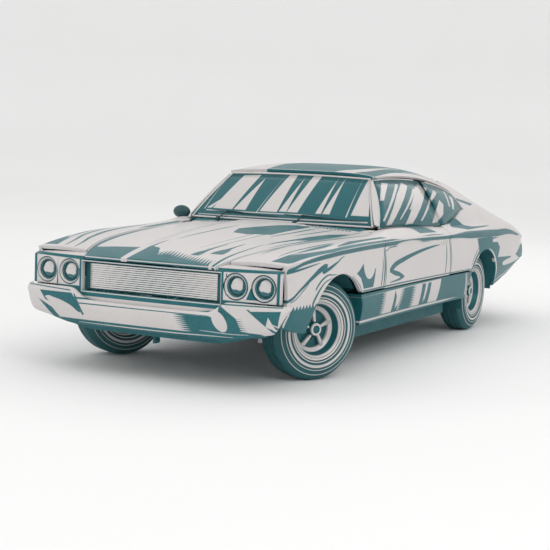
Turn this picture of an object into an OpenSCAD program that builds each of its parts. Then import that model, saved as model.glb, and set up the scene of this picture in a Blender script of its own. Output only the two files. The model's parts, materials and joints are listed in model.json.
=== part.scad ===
// Two-door hardtop coupe of the early-seventies muscle class: separate body panels
// round a hollow cabin, a perimeter frame, a live rear axle and steered front wheels.
// Millimetres. +X runs forward, +Y to the car's left, +Z up. The origin is on the
// ground, midway between the bumpers. The front wheels rest turned to the right.

/* [Overall] */
// Distance between the front and rear axles
wheelbase = 2940; // [2850:10:3530]
// Front axle to the foremost face of the front bumper
front_overhang = 840; // [800:10:1010]
// Rear axle to the rearmost face of the rear bumper
rear_overhang = 1360; // [1250:10:1640]
// Width over the body sides at the crease
body_width = 1900; // [1860:10:2280]
// Ground to the highest point of the roof
roof_height = 1370; // [1300:10:1640]

/* [Body heights] */
// Ground to the lowest edge of the sills
sill_z = 310; // [280:5:370]
// Ground to the lower edge of the doors
door_bottom_z = 536; // [500:4:560]
// Ground to the crease along the body side
crease_z = 857; // [840:5:900]
// Ground to the belt line below the side glass
belt_z = 925; // [910:5:960]
// Ground to the hood's front edge
nose_z = 762; // [740:5:790]
// Ground to the hood's rear edge at the centre line
hood_rear_z = 932; // [910:5:960]

/* [Doors and glass] */
// Front axle to the front edge of the door
door_setback = 770; // [740:5:820]
// Length of the door
door_length = 1330; // [1200:10:1500]
// Thickness of the door from skin to trim
door_thickness = 138; // [110:2:150]
// Thickness of the glass
glass_thickness = 6; // [4:1:8]
// Gap between neighbouring body panels
panel_gap = 7; // [6:1:10]

/* [Skins] */
// Thickness of the fenders, hood, lid and roof
skin = 24; // [16:1:30]
// Thickness of the rear quarter walls
quarter_wall = 45; // [30:5:60]

/* [Wheels] */
// Outer diameter of the tyres
tyre_diameter = 660; // [600:10:700]
// Width of the tyres
tyre_width = 226; // [200:2:250]
// Diameter of the rims at the bead
rim_diameter = 390; // [360:5:430]
// Distance between the tyre centres on one axle
track = 1520; // [1480:10:1560]
// How far the front wheels rest turned to the right, in degrees
rest_steer = 28; // [0:1:32]
// Steering axis to the tyre's centre plane
scrub = 70; // [60:5:80]
// Front wheel arch, half its length
front_arch = 405; // [395:5:430]
// Rear wheel arch, half its length
rear_arch = 375; // [365:5:410]
// Arch top above the axle
arch_rise = 365; // [360:5:400]

/* [Nose] */
// Half the width of the grille opening
grille_half = 510; // [450:10:560]
// Height of the grille opening
grille_height = 186; // [150:2:200]
// Radius of each headlamp opening
lamp_r = 84; // [70:1:90]
// Centre line to the inner headlamps
lamp_inner_y = 610; // [600:5:640]
// Centre line to the outer headlamps
lamp_outer_y = 795; // [785:5:810]
// Number of grille bars
grille_bars = 13; // [7:1:17]

/* [Hidden] */
$fn = 48;

// Colours of the finishes
PAINT = [0.80, 0.79, 0.78];
ACCENT = [0.14, 0.39, 0.41];
CHROME = [0.86, 0.87, 0.88];
GLASS = [0.16, 0.42, 0.44, 0.5];
DARK = [0.10, 0.20, 0.21];
RUBBER = [0.09, 0.22, 0.23];
METAL = [0.55, 0.57, 0.58];
TRIM = [0.20, 0.32, 0.33];

// Stations along the car
length = wheelbase + front_overhang + rear_overhang;
nose_x = length / 2;
tail_x = -length / 2;
front_axle_x = nose_x - front_overhang;
rear_axle_x = front_axle_x - wheelbase;
door_front_x = front_axle_x - door_setback;
door_rear_x = door_front_x - door_length;
glass_base_x = door_front_x - 115;
header_x = glass_base_x - 385;
pillar_base_x = door_front_x - 215;
window_corner_x = door_rear_x - 105;
window_tip_x = door_rear_x - 690;
roof_rear_x = window_tip_x + 4;
backlight_base_x = rear_axle_x - 480;
lid_front_x = backlight_base_x - 90;
hood_rear_x = door_front_x - 55;
fender_front_x = nose_x - 134;
face_x = nose_x - 46;
half_width = body_width / 2;
axle_z = tyre_diameter / 2;
wheel_y = track / 2;

// ---- Curves ----
function seg(p, x, i = 0) = (i >= len(p) - 2 || x <= p[i + 1][0]) ? i : seg(p, x, i + 1);
function slope(p, i) = let (a = max(i - 1, 0), b = min(i + 1, len(p) - 1))
    (p[b][1] - p[a][1]) / (p[b][0] - p[a][0]);
// Smooth curve through the points of p, which rise in x; level beyond its ends
function curve(p, x) = let (
    i = seg(p, x), h = p[i + 1][0] - p[i][0], t = min(max((x - p[i][0]) / h, 0), 1))
    p[i][1] * (2 * t^3 - 3 * t^2 + 1) + slope(p, i) * h * (t^3 - 2 * t^2 + t)
    + p[i + 1][1] * (3 * t^2 - 2 * t^3) + slope(p, i + 1) * h * (t^3 - t^2);
function lerp(a, b, t) = a + (b - a) * t;
function steps(a, b, n) = [for (i = [0:n]) lerp(a, b, i / n)];
function ease(t) = let (c = min(max(t, 0), 1)) c * c * (3 - 2 * c);
function bow(a, b, t, rise) = lerp(a, b, t) + rise * 4 * t * (1 - t);

// ---- The body's lines, each a function of the station x ----
// Height of the crease along the side
function crease(x) = crease_z + curve([
    [tail_x, -122], [tail_x + 340, -78], [rear_axle_x - 400, -29], [rear_axle_x + 150, -15],
    [door_rear_x, -9], [door_front_x - 600, 0], [door_front_x, -2], [front_axle_x - 300, -7],
    [front_axle_x + 170, -26], [nose_x - 260, -56], [nose_x, -90]], x);
// Half width at the crease: full over both wheels, drawn in at the doors and the ends
function crease_y(x) = half_width - curve([
    [tail_x, 82], [tail_x + 300, 42], [tail_x + 700, 16], [rear_axle_x, 0], [rear_axle_x + 420, 4],
    [door_rear_x + 250, 18], [door_front_x - 500, 22], [door_front_x, 15], [front_axle_x - 220, 4],
    [front_axle_x + 180, 4], [nose_x - 380, 12], [nose_x - 180, 26], [nose_x - 40, 48]], x);
// Height and half width of the shoulder, which is the fender top and the belt
function shoulder(x) = curve([
    [tail_x, belt_z - 140], [tail_x + 160, belt_z - 95], [tail_x + 340, belt_z - 62],
    [rear_axle_x - 650, belt_z - 30], [rear_axle_x - 350, belt_z - 20], [window_tip_x, belt_z - 19],
    [window_corner_x, belt_z - 15], [door_rear_x + 400, belt_z - 4], [door_front_x - 280, belt_z + 10],
    [door_front_x - 100, belt_z - 2], [door_front_x + 60, belt_z - 24], [front_axle_x - 450, belt_z - 38],
    [front_axle_x - 200, belt_z - 44], [front_axle_x + 40, belt_z - 50], [nose_x - 560, belt_z - 66],
    [nose_x - 340, belt_z - 94], [nose_x - 130, belt_z - 135], [nose_x - 40, nose_z + 8]], x);
function shoulder_y(x) = crease_y(x) - curve([
    [tail_x, 60], [rear_axle_x, 78], [door_rear_x, 84], [door_front_x - 300, 86],
    [door_front_x + 100, 66], [front_axle_x, 58], [nose_x - 200, 48], [nose_x, 34]], x);
// Lowest edge of the body
function sill(x) = sill_z + curve([
    [tail_x, 225], [tail_x + 230, 178], [rear_axle_x - 830, 120], [rear_axle_x - 540, 70],
    [rear_axle_x - 300, 30], [rear_axle_x, 5], [door_rear_x, 0], [front_axle_x, 0],
    [nose_x - 400, 44], [nose_x - 270, 66], [nose_x - 134, 108]], x);
// Side of the roof over the door glass
function rail(x) = roof_height - curve([
    [window_tip_x, 197], [window_tip_x + 260, 143], [door_rear_x - 30, 90], [door_rear_x + 270, 72],
    [header_x - 260, 68], [header_x - 20, 78]], x);
function rail_y(x) = half_width - curve([
    [window_tip_x, 300], [door_rear_x - 100, 306], [door_rear_x + 370, 322], [header_x - 20, 350]], x);
// Ridge of the sail panel, from the roof down to the tail
function ridge(x) = let (run = (window_tip_x - x) / (window_tip_x - tail_x)) curve([
    [0, roof_height - 115], [0.16, roof_height - 155], [0.36, lerp(belt_z, roof_height, 0.46)],
    [0.62, belt_z + 78], [0.76, belt_z + 20], [0.89, belt_z - 46], [1, belt_z - 118]], run);
function ridge_y(x) = half_width - curve([
    [tail_x, 250], [tail_x + 170, 260], [tail_x + 370, 290], [tail_x + 570, 320],
    [tail_x + 970, 375], [window_tip_x - 240, 405], [window_tip_x, 410]], x);
// Rear window and deck, on the centre line
function backlight(x) = lerp(roof_height - 82, belt_z + 40,
    (window_tip_x - x) / (window_tip_x - backlight_base_x));
function deck(x) = belt_z + curve([
    [tail_x + 10, -112], [tail_x + 70, -76], [tail_x + 270, -26], [tail_x + 570, 12], [backlight_base_x,
        38]], x);
// Hood: centre line, side edge and the height there
function hood_mid(x) = curve([
    [hood_rear_x, hood_rear_z], [hood_rear_x + 300, hood_rear_z - 14], [hood_rear_x + 600,
        hood_rear_z - 36],
    [nose_x - 614, hood_rear_z - 78], [nose_x - 365, hood_rear_z - 108], [nose_x - 150, nose_z + 28],
    [nose_x - 50, nose_z]], x);
function hood_edge_y(x) = curve([
    [hood_rear_x, 708], [hood_rear_x + 500, 680], [nose_x - 760, 636], [nose_x - 470, 592],
    [nose_x - 200, 530], [nose_x - 50, 486]], x);
function hood_edge(x) = curve([
    [hood_rear_x - 60, belt_z - 18], [hood_rear_x + 60, belt_z - 24], [hood_rear_x + 500, belt_z - 42],
    [nose_x - 760, belt_z - 62], [nose_x - 470, belt_z - 86], [nose_x - 200, nose_z + 38],
    [nose_x - 50, nose_z - 6]], x);
// Half width of the hood's raised centre
function bulge_y(x) = curve([[hood_rear_x, 290], [front_axle_x - 200, 262], [nose_x - 614, 228],
    [nose_x - 365, 196], [nose_x - 100, 110]], x);
// Nose in plan, by the distance from the centre line
function face(y) = face_x - 34 * pow(abs(y) / 900, 2);

// ---- The body's two surfaces ----
// Half width of the left side at station x and height z
function side_y(x, z) = let (c = crease(x), s = shoulder(x), b = sill(x), cy = crease_y(x),
    sy = shoulder_y(x))
    z <= 540 ? bow(cy - 38, cy + 3, (z - b) / (540 - b), 9)
    : z <= c - 30 ? bow(cy + 3, cy - 13, (z - 540) / (c - 570), 12)
    : z <= c ? lerp(cy - 13, cy, (z - c + 30) / 30)
    : z <= s ? bow(cy, sy, (z - c) / (s - c), 9)
    : x <= window_tip_x ? bow(sy, ridge_y(x), min((z - s) / max(ridge(x) - s, 12), 1), 47
        * ease((ridge(x) - s) / 260))
    : bow(sy, rail_y(x), (z - s) / (rail(x) - s), 24);
// Height of the hood and fender tops at station x, a distance y off the centre line
function top_z(x, y) = let (e = hood_edge_y(x), a = abs(y), m = hood_mid(x), h = hood_edge(x))
    a <= e ? m + (h - m) * pow(a / e, 2)
    : bow(h, shoulder(x), min((a - e) / (shoulder_y(x) - e), 1), 9);
function hood_z(x, y) = top_z(x, y) + 16 * ease((bulge_y(x) + 22 - abs(y)) / 44)
    * ease((nose_x - 50 - x) / 260);
// Height of the roof skin
function roof_z(x, y) = let (m = roof_height - curve([
    [roof_rear_x, 84], [door_rear_x - 400, 42], [door_rear_x - 60, 9], [door_rear_x + 300, 0],
    [header_x - 260, 18], [header_x, 52]], x), r = rail(x), s = min(abs(y) / rail_y(x), 1))
    r + (m - r) * pow(1 - pow(s, 4), 0.7);
// Arch line over a wheel at xa, or the sill below and beyond it
function arch_z(x, xa, ra) = abs(x - xa) >= ra ? -1000 : axle_z + arch_rise
    * sqrt(1 - pow((x - xa) / ra, 2));
function arch_x(z, ra) = ra * sqrt(1 - pow(min(abs(z - axle_z) / arch_rise, 1), 2));

// ---- Solids ----
function unit(v) = v / norm(v);
function grid_normal(g, i, j) = unit(cross(
    g[min(i + 1, len(g) - 1)][j] - g[max(i - 1, 0)][j],
    g[i][min(j + 1, len(g[0]) - 1)] - g[i][max(j - 1, 0)]));
function inset(g, t) = [for (i = [0:len(g) - 1]) [for (j = [0:len(g[0]) - 1]) g[i][j] + t
    * grid_normal(g, i, j)]];

// Closed solid between an outer and an inner grid of points
module shell(outer, inner) {
    n = len(outer);
    m = len(outer[0]);
    k = n * m;
    points = [for (g = [outer, inner]) for (col = g) for (p = col) p];
    skins = [for (i = [0:n - 2]) for (j = [0:m - 2])
        let (a = i * m + j, b = a + m, c = b + 1, d = a + 1)
        each [[a, b, c], [a, c, d], [a + k, c + k, b + k], [a + k, d + k, c + k]]];
    long_edges = [for (i = [0:n - 2])
        let (a = i * m, b = a + m, d = a + m - 1, c = b + m - 1)
        each [[b, a, a + k], [b, a + k, b + k], [d, c, c + k], [d, c + k, d + k]]];
    short_edges = [for (j = [0:m - 2])
        let (a = j, d = j + 1, b = (n - 1) * m + j, c = b + 1)
        each [[a, d, d + k], [a, d + k, a + k], [c, b, b + k], [c, b + k, c + k]]];
    polyhedron(points, concat(skins, long_edges, short_edges));
}

module panel(g, t) { shell(g, inset(g, t)); }
// Inner grid of a side panel: rows move inward by angles listed from the lowest row up
function turned_inset(g, t, turn) = [for (col = g) [for (j = [0:len(col) - 1])
    col[j] - t * [0, cos(turn[j]), sin(turn[j])]]];

// Solid through a row of closed convex outlines, each listed the same way round
module loft(rings) {
    n = len(rings);
    m = len(rings[0]);
    walls = [for (i = [0:n - 2]) for (j = [0:m - 1])
        let (a = i * m + j, b = a + m, d = i * m + (j + 1) % m, c = d + m)
        each [[a, b, c], [a, c, d]]];
    first = [for (j = [1:m - 2]) [0, j, j + 1]];
    last = [for (j = [1:m - 2]) [(n - 1) * m, (n - 1) * m + j + 1, (n - 1) * m + j]];
    polyhedron([for (r = rings) for (p = r) p], concat(walls, first, last));
}

// Upright slice: an outline in X and Z, from y0 to y1
module across(y0, y1) {
    translate([0, y1, 0]) rotate([90, 0, 0]) linear_extrude(y1 - y0) children();
}
// Slice along the car: an outline in Y and Z, from x0 to x1
module along(x0, x1) {
    translate([x0, 0, 0]) rotate([90, 0, 90]) linear_extrude(x1 - x0) children();
}
module pair() {
    children();
    mirror([0, 1, 0]) children();
}
module box(low, high) { translate(low) cube(high - low); }
// Round bar between two points
module rod(a, b, r) {
    v = b - a;
    translate(a) rotate([0, acos(v[2] / norm(v)), atan2(v[1], v[0])]) cylinder(h = norm(v), r = r);
}

// ---- Body sides ----
function arch_stations(xa, ra, n) = [for (i = [0:n]) xa - ra * cos(180 * i / n)];

module fender() {
    x0 = door_front_x + panel_gap;
    xs = concat(
        steps(x0, front_axle_x - front_arch - 4, 4),
        arch_stations(front_axle_x, front_arch, 18),
        steps(front_axle_x + front_arch + 6, fender_front_x, 7));
    function low(x) = x < front_axle_x
        ? max(door_bottom_z + panel_gap, arch_z(x, front_axle_x, front_arch))
        : max(sill(x), arch_z(x, front_axle_x, front_arch));
    g = [for (x = xs) concat(
        [for (z = steps(low(x), crease(x) - 30, 7)) [x, side_y(x, z), z]],
        [for (z = steps(crease(x), shoulder(x), 3)) [x, side_y(x, z), z]],
        [for (y = steps(shoulder_y(x), hood_edge_y(x) + panel_gap, 5))
            if (y < shoulder_y(x) - 0.01) [x, y, top_z(x, y)]])];
    turn = concat([for (j = [0:7]) 0], [12, 25, 45, 62], [for (j = [1:5]) 82]);
    color(PAINT) shell(g, turned_inset(g, skin, turn));
}
module front_fenders() { pair() fender(); }

// Window sill of the quarter, level at first, then rising to the tip
function quarter_top(x) = x <= window_tip_x ? ridge(x)
    : x <= window_corner_x ? lerp(belt_z + 100, shoulder(x) + 8,
        ease((x - window_tip_x - 12) / (window_corner_x - window_tip_x - 12)))
    : shoulder(x) + 8;

module quarter() {
    x1 = door_rear_x - panel_gap;
    xs = concat(
        steps(tail_x + 45, rear_axle_x - rear_arch - 6, 9),
        arch_stations(rear_axle_x, rear_arch, 18),
        steps(rear_axle_x + rear_arch + 8, x1, 5));
    stations = [for (x = xs) each (x > window_tip_x && x - 40 < window_tip_x ? [window_tip_x,
        window_tip_x + 12, x + 8] : [x])];
    function low(x) = x > rear_axle_x
        ? max(door_bottom_z + panel_gap, arch_z(x, rear_axle_x, rear_arch))
        : max(sill(x), arch_z(x, rear_axle_x, rear_arch));
    function in_y(x) = x <= window_tip_x ? 34 : 9;
    function in_z(x) = x > window_tip_x ? quarter_top(x) - 1
        : x > backlight_base_x ? min(backlight(x) - 40, ridge(x) - 6) : min(deck(x) - 8, ridge(x) - 5);
    g = [for (x = stations) let (top = quarter_top(x)) concat(
        [for (z = steps(low(x), crease(x) - 30, 6)) [x, side_y(x, z), z]],
        [for (z = steps(crease(x), shoulder(x), 2)) [x, side_y(x, z), z]],
        [for (t = [0.25, 0.5, 0.75, 1]) let (z = lerp(shoulder(x), top, t)) [x, side_y(x, z), z]],
        [for (t = [0.5, 1]) [x, side_y(x, top) - in_y(x) * t, lerp(top, in_z(x), t)]])];
    color(PAINT) panel(g, quarter_wall * 0.55);
}
module quarter_panels() { pair() quarter(); }

module rocker() {
    inner_y = half_width - 150;
    zs = steps(sill_z, door_bottom_z - panel_gap, 5);
    g = [for (u = steps(0, 1, 12)) [for (z = zs)
        let (x = lerp(rear_axle_x + arch_x(z, rear_arch) + 6, front_axle_x - arch_x(z, front_arch) - 6, u))
        [x, side_y(x, z), z]]];
    inner = [for (col = g) [for (p = col) [p[0], inner_y, p[2]]]];
    color(ACCENT) shell(g, inner);
}
module rocker_panels() { pair() rocker(); }

// ---- Doors ----
door_inner_y = half_width - 22 - door_thickness;
module door() {
    x1 = door_front_x;
    x0 = door_rear_x;
    xs = steps(x0, x1, 12);
    g = [for (x = xs) concat(
        [for (z = steps(door_bottom_z, crease(x) - 30, 6)) [x, side_y(x, z), z]],
        [for (z = steps(crease(x), shoulder(x), 3)) [x, side_y(x, z), z]])];
    // The inner face stops short at the rear, so that its corner swings clear of the jamb
    inner = [for (col = g) [for (p = col)
        [lerp(x0 + 16, x1, (p[0] - x0) / (x1 - x0)), min(door_inner_y, p[1] - 40),
            p[2] - (p[2] > shoulder(p[0]) - 1 ? 4 : 0)]]];
    color(PAINT) shell(g, inner);
}
module door_left() { door(); }
module door_right() { mirror([0, 1, 0]) door(); }

// Glass stops this far below the edge of the roof
glass_drop = 26;
// The door glass: its front edge lies along the windshield pillar, and it leans out towards the rear
function pillar_x(z) = lerp(pillar_base_x, header_x - 20,
    (z - belt_z - 20) / (roof_height - 75 - belt_z - 20));
function glass_low_y(x) = side_y(x, shoulder(x) + 2) - 8 - 56
    * ease((x - door_rear_x) / (pillar_base_x - door_rear_x));
function door_glass_point(u, v) = let (
    z0 = shoulder(pillar_base_x) + 2, z1 = rail(header_x) - glass_drop,
    x_low = lerp(door_rear_x + 1, pillar_x(z0) - 14, u), x_top = lerp(door_rear_x + 1, pillar_x(z1)
        - 14, u))
    [lerp(x_low, x_top, v), bow(glass_low_y(x_low), rail_y(x_top) - 8, v, 24),
     lerp(shoulder(x_low) + 2, rail(x_top) - glass_drop, v)];
module door_glass() {
    g = [for (u = steps(0, 1, 8)) [for (v = steps(0, 1, 5)) door_glass_point(u, v)]];
    color(GLASS) panel(g, glass_thickness);
}
module door_glass_left() { door_glass(); }
module door_glass_right() { mirror([0, 1, 0]) door_glass(); }

module quarter_window() {
    g = [for (u = steps(0, 1, 8)) [for (v = steps(0, 1, 4))
        let (x = lerp(window_tip_x + 18, door_rear_x - 8, u),
             z = lerp(quarter_top(x) + 4, rail(x) - glass_drop, v))
        [x, side_y(x, z) - 8, z]]];
    panel(g, glass_thickness);
}
module fixed_glass() {
    color(GLASS) {
        windshield();
        rear_window();
        pair() quarter_window();
    }
}

// ---- Roof, windshield and rear window ----
function across_steps(n) = [for (i = [n:-1:-n]) sin(90 * i / n)];
module roof() {
    xs = concat(steps(roof_rear_x, door_rear_x, 6), steps(door_rear_x + 130, header_x, 6));
    g = [for (x = xs) [for (s = across_steps(8)) [x, s * rail_y(x), roof_z(x, s * rail_y(x))]]];
    color(PAINT) panel(g, skin);
}

// Windshield surface: u across from left to right, v up from the base
function glass_point(u, v) = let (
    base = [glass_base_x - 75 * u * u, u * (half_width - 206), belt_z + 24 - 4 * u * u],
    top = [header_x + 22 - 26 * u * u, u * (half_width - 372), roof_height - 84 - 12 * u * u])
    lerp(base, top, v) + [10, 0, 8] * 4 * v * (1 - v);
module windshield() {
    g = [for (v = steps(1, 0, 6)) [for (u = across_steps(6)) glass_point(u, v)]];
    panel(g, glass_thickness);
}

// Pillar between the edges of the windshield and the door glass
module windshield_pillar() {
    function ring(t) = let (
        p = glass_point(1, t), q = door_glass_point(1, min(t * 1.01, 1)) + [panel_gap + 2, 0, 0])
        [p + [2, 3, 4], p + [7, 8, 13], q + [4, 5, 8], q + [-4, -26, -4], p + [-34, -8, -22]];
    color(PAINT) loft([for (t = steps(0.02, 0.95, 6)) ring(t)]);
}
module windshield_pillars() { pair() windshield_pillar(); }

module cowl() {
    x1 = hood_rear_x - panel_gap;
    g = [for (v = steps(0, 1, 3)) [for (u = across_steps(8))
        let (b = glass_point(u, 0), y = u * (half_width - 250), x = lerp(b[0] + 8, x1, v))
        [x, y, lerp(b[2] - 14, top_z(hood_rear_x, y) - 12, v)]]];
    // Side wings between the pillars, the doors and the fenders
    wing = [for (x = steps(pillar_base_x + 45, door_front_x, 4))
        let (rise = x < hood_rear_x ? 10 * (1 - pow((x - pillar_base_x) / 160, 2)) : 0)
        [for (y = steps(half_width - 169, half_width - 234, 3)) [x, y, belt_z - 8 + rise - 0.02 * (y - 700)]]];
    color(PAINT) panel(g, skin * 0.6);
    color(PAINT) pair() shell(wing, [for (col = wing) [for (p = col) p - [0, 0, 14]]]);
}

module rear_window() {
    g = [for (x = steps(backlight_base_x + 4, roof_rear_x - 6, 7)) [for (u = across_steps(6))
        let (w = ridge_y(x) - 46) [x, u * w, backlight(x) - 34 * u * u + 10]]];
    panel(g, glass_thickness);
}

function deck_z(x, y) = deck(x) - 14 * pow(y / ridge_y(x), 2);
module rear_deck_panel() {
    g = [for (x = steps(lid_front_x + panel_gap, backlight_base_x - 4, 2)) [for (u = across_steps(6))
        let (w = ridge_y(x) - 46) [x, u * w, deck_z(x, u * w)]]];
    color(PAINT) panel(g, skin * 0.8);
}
module trunk_lid() {
    g = [for (x = steps(tail_x + 48, lid_front_x, 10)) [for (u = across_steps(7))
        let (w = ridge_y(x) - 46) [x, u * w, deck_z(x, u * w)]]];
    color(PAINT) panel(g, skin);
}
module package_shelf() {
    color(TRIM) box([backlight_base_x + 20, -half_width + 330, belt_z - 55], [window_tip_x - 170,
        half_width - 330, belt_z - 43]);
}

module hood() {
    half = [0, 0.15, 0.3, 0.38, 0.46, 0.58, 0.72, 0.86, 1];
    g = [for (u = steps(0, 1, 18)) [for (i = [8:-1:-8])
        let (x0 = lerp(hood_rear_x, nose_x - 50, u), y = sign(i) * half[abs(i)] * hood_edge_y(x0),
             x = x0 + u * u * u * (face(y) + 8 - nose_x + 50)) [x, y, hood_z(x, y)]]];
    color(PAINT) panel(g, skin);
}

// ---- Nose and tail ----
grille_low_z = nose_z - 42 - grille_height;
lamp_z = nose_z - 116;
nose_half = half_width - 48;
module nose_panel() {
    ys = steps(-nose_half, nose_half, 24);
    color(PAINT) difference() {
        union() {
            translate([0, 0, nose_z - 330]) linear_extrude(298)
                polygon(concat([for (y = ys) [face(y), y]], [for (i = [24:-1:0]) [face(ys[i]) - 36,
                    ys[i]]]));
            pair() nose_corner();
        }
        box([nose_x - 200, -grille_half, grille_low_z], [nose_x + 10, grille_half, grille_low_z
            + grille_height]);
        for (s = [-1, 1], y = [lamp_inner_y, lamp_outer_y])
            translate([nose_x - 200, s * y, lamp_z]) rotate([0, 90, 0]) cylinder(h = 260, r = lamp_r);
        // Clearance for the bumper's ends and the fenders' lower corners
        pair() box([nose_x - 200, 700, nose_z - 331], [nose_x + 10, half_width, nose_z - 205]);
    }
}
// Corner over the lamps, from the hood gap out to the side of the body
module nose_corner() {
    rear_x = fender_front_x + panel_gap;
    g = [for (u = steps(0, 1, 3)) let (y0 = hood_edge_y(lerp(rear_x, nose_x - 50, u)) + panel_gap)
        [for (y = steps(nose_half - 1, y0, 7)) let (x = lerp(rear_x, face(y) - 1, u))
            [x, y, min(top_z(x, y), nose_z + 8 - 14 * u) - 14 * pow(y / nose_half, 6)]]];
    shell(g, [for (col = g) [for (p = col) [p[0], p[1], nose_z - 50]]]);
}
module grille() {
    pitch = (grille_height - 8) / grille_bars;
    z0 = grille_low_z + 4;
    color(CHROME) union() {
        box([face_x - 60, -grille_half + 4, z0], [face_x - 52, grille_half - 4, z0 + grille_height - 8]);
        for (i = [0:grille_bars - 1])
            box([face_x - 52, -grille_half + 4, z0 + (i + 0.3) * pitch], [face_x - 38, grille_half - 4,
                z0 + (i + 0.75) * pitch]);
    }
}
module headlamps() {
    color(CHROME) for (s = [-1, 1], y = [lamp_inner_y, lamp_outer_y])
        translate([face(y) - 62, s * y, lamp_z]) rotate([0, 90, 0])
            rotate_extrude() polygon(concat([[0, 0], [lamp_r - 3, 0], [lamp_r - 3, 40]],
                [for (i = [1:8]) (lamp_r - 3) * [1 - i / 8, 0] + [0, 40 + 14 * sin(90 * i / 8)]]));
}

// Plan of a bumper: a shallow bow out to y0, then a corner of radius r; t from -1 to 1
function bumper_plan(t, reach, y0, r) = let (a = abs(t), s = sign(t), e = 90 * max(a - 0.8, 0) / 0.2)
    [reach - 34 * pow(y0 * min(a / 0.8, 1) / 900, 2) - r * (1 - cos(e)), s * (y0 * min(a / 0.8, 1) + r
        * sin(e))];
function bumper_ring(t, reach, y0, r, section) = let (
    d = 0.002, q = bumper_plan(min(t + d, 1), reach, y0, r) - bumper_plan(max(t - d, -1), reach, y0, r),
    p = bumper_plan(t, reach, y0, r), n = unit([q[1], -q[0]]))
    [for (k = section) [p[0] + n[0] * k[0], p[1] + n[1] * k[0], k[1]]];
module bumper(middle, reach, y0, r) {
    half = concat(middle, [for (e = [0:15:90]) 0.8 + 0.2 * e / 90]);
    n = len(half) - 1;
    ts = concat([for (i = [n:-1:1]) -half[i]], half);
    loft([for (t = ts) bumper_ring(t, reach, y0, r, $section(t, abs(bumper_plan(t, reach, y0, r)[1])))]);
}
module front_bumper() {
    $section = function(t, y) let (
        top = lerp(nose_z - 284, nose_z - 210, ease((y - 470) / 80)),
        rise = 150 * pow(max(y - half_width + 72, 0) / 70, 1.4),
        low = min(lerp(316, 374, ease((y - 540) / 340)) + rise, top - 26),
        mid = lerp(low, top, 0.62), lip = min(14, (top - low) / 4), back = lerp(-16, -2,
            ease((abs(t) - 0.84) / 0.12)))
        [[back, low + lip], [-1, low], [16, low + lip * 1.5], [27, mid], [20, top - lip], [6, top],
            [back, top - 5]];
    color(CHROME) bumper([0, 0.2, 0.42, 0.47, 0.51, 0.55, 0.62, 0.7], nose_x - 27, half_width - 74, 62);
}
module rear_bumper() {
    $section = function(t, y) [[-1, 524], [4, 510], [17, 530], [23, 560], [17, 590], [6, 600], [-1, 594]];
    color(CHROME) mirror([1, 0, 0]) bumper([0, 0.3, 0.6], -tail_x - 23, half_width - 178, 24);
}
module tail_panel() {
    w = half_width;
    half = [[w - 109, 606], [w - 96, 660], [w - 98, crease(tail_x) - 10], [w - 150, belt_z - 150],
        [w - 260, belt_z - 122]];
    color(PAINT) difference() {
        union() {
            along(tail_x + 12, tail_x + 42)
                polygon(concat(half, [for (i = [4:-1:0]) [-half[i][0], half[i][1]]]));
            // Return behind the bumper, down to the floor's edge
            across(-w + 180, w - 180) polygon([
                [tail_x + 30, 606], [tail_x + 74, 606], [tail_x + 74, 500], [tail_x + 86, 500],
                [tail_x + 86, 618], [tail_x + 30, 618]]);
        }
        for (s = [-1, 1]) box([tail_x, s * 600 - 210, 606], [tail_x + 60, s * 600 + 210, 716]);
        for (s = [-1, 1]) translate([tail_x, s * 89, 690]) rotate([0, 90, 0]) cylinder(h = 60, r = 3.5);
    }
}
module tail_lamps() {
    color([0.45, 0.08, 0.08]) for (s = [-1, 1]) box([tail_x + 8, s * 600 - 206, 610], [tail_x + 44,
        s * 600 + 206, 712]);
}
module front_valance() {
    half = half_width - 150;
    g = [for (v = steps(0, 1, 3)) [for (y = steps(-half, half, 14))
        let (low = lerp(282, 352, ease((abs(y) - 450) / 370)))
        [face(y) - 20 - 26 * v * v, -y, lerp(372, low, v)]]];
    color(ACCENT) shell(g, [for (c = g) [for (p = c) p - [16, 0, 0]]]);
}

// ---- Chassis ----
rail_front_y = 350;
rail_mid_y = half_width - 240;
rail_rear_y = 500;
module chassis_frame() {
    color(DARK) pair() union() {
        across(rail_front_y, rail_front_y + 62) polygon([
            [nose_x - 150, 300], [front_axle_x - 480, 300], [front_axle_x - 620, 190],
                [front_axle_x - 700, 190],
            [front_axle_x - 700, 276], [front_axle_x - 660, 276], [front_axle_x - 520, 400],
                [nose_x - 150, 400]]);
        box([front_axle_x - 760, rail_front_y, 190], [front_axle_x - 640, rail_mid_y + 62, 276]);
        box([rear_axle_x + 560, rail_mid_y, 190], [front_axle_x - 700, rail_mid_y + 62, 276]);
        box([rear_axle_x + 500, rail_rear_y, 190], [rear_axle_x + 600, rail_mid_y + 62, 276]);
        across(rail_rear_y, rail_rear_y + 62) polygon([
            [rear_axle_x + 600, 190], [rear_axle_x + 600, 276], [rear_axle_x + 540, 276], [rear_axle_x
                + 260, 500],
            [rear_axle_x - 260, 500], [rear_axle_x - 520, 420], [tail_x + 190, 420], [tail_x + 190, 340],
            [rear_axle_x - 480, 340], [rear_axle_x - 220, 420], [rear_axle_x + 220, 420], [rear_axle_x
                + 470, 190]]);
    }
}
module cross_members() {
    color(DARK) {
        box([front_axle_x - 60, -rail_front_y, 215], [front_axle_x + 60, rail_front_y, 299]);
        box([front_axle_x - 740, -rail_front_y, 194], [front_axle_x - 690, rail_front_y, 222]);
        box([tail_x + 190, -rail_rear_y, 350], [tail_x + 240, rail_rear_y, 410]);
        difference() {
            union() {
                box([nose_x - 190, -rail_front_y, 310], [nose_x - 152, rail_front_y, 390]);
                box([nose_x - 190, -8, 232], [nose_x - 130, 8, 330]);
            }
            translate([tow_eye_x, 0, tow_eye_z]) rotate([90, 0, 0]) cylinder(h = 40, r = 13, center = true);
        }
    }
}
tow_eye_x = nose_x - 160;
tow_eye_z = 262;

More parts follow.
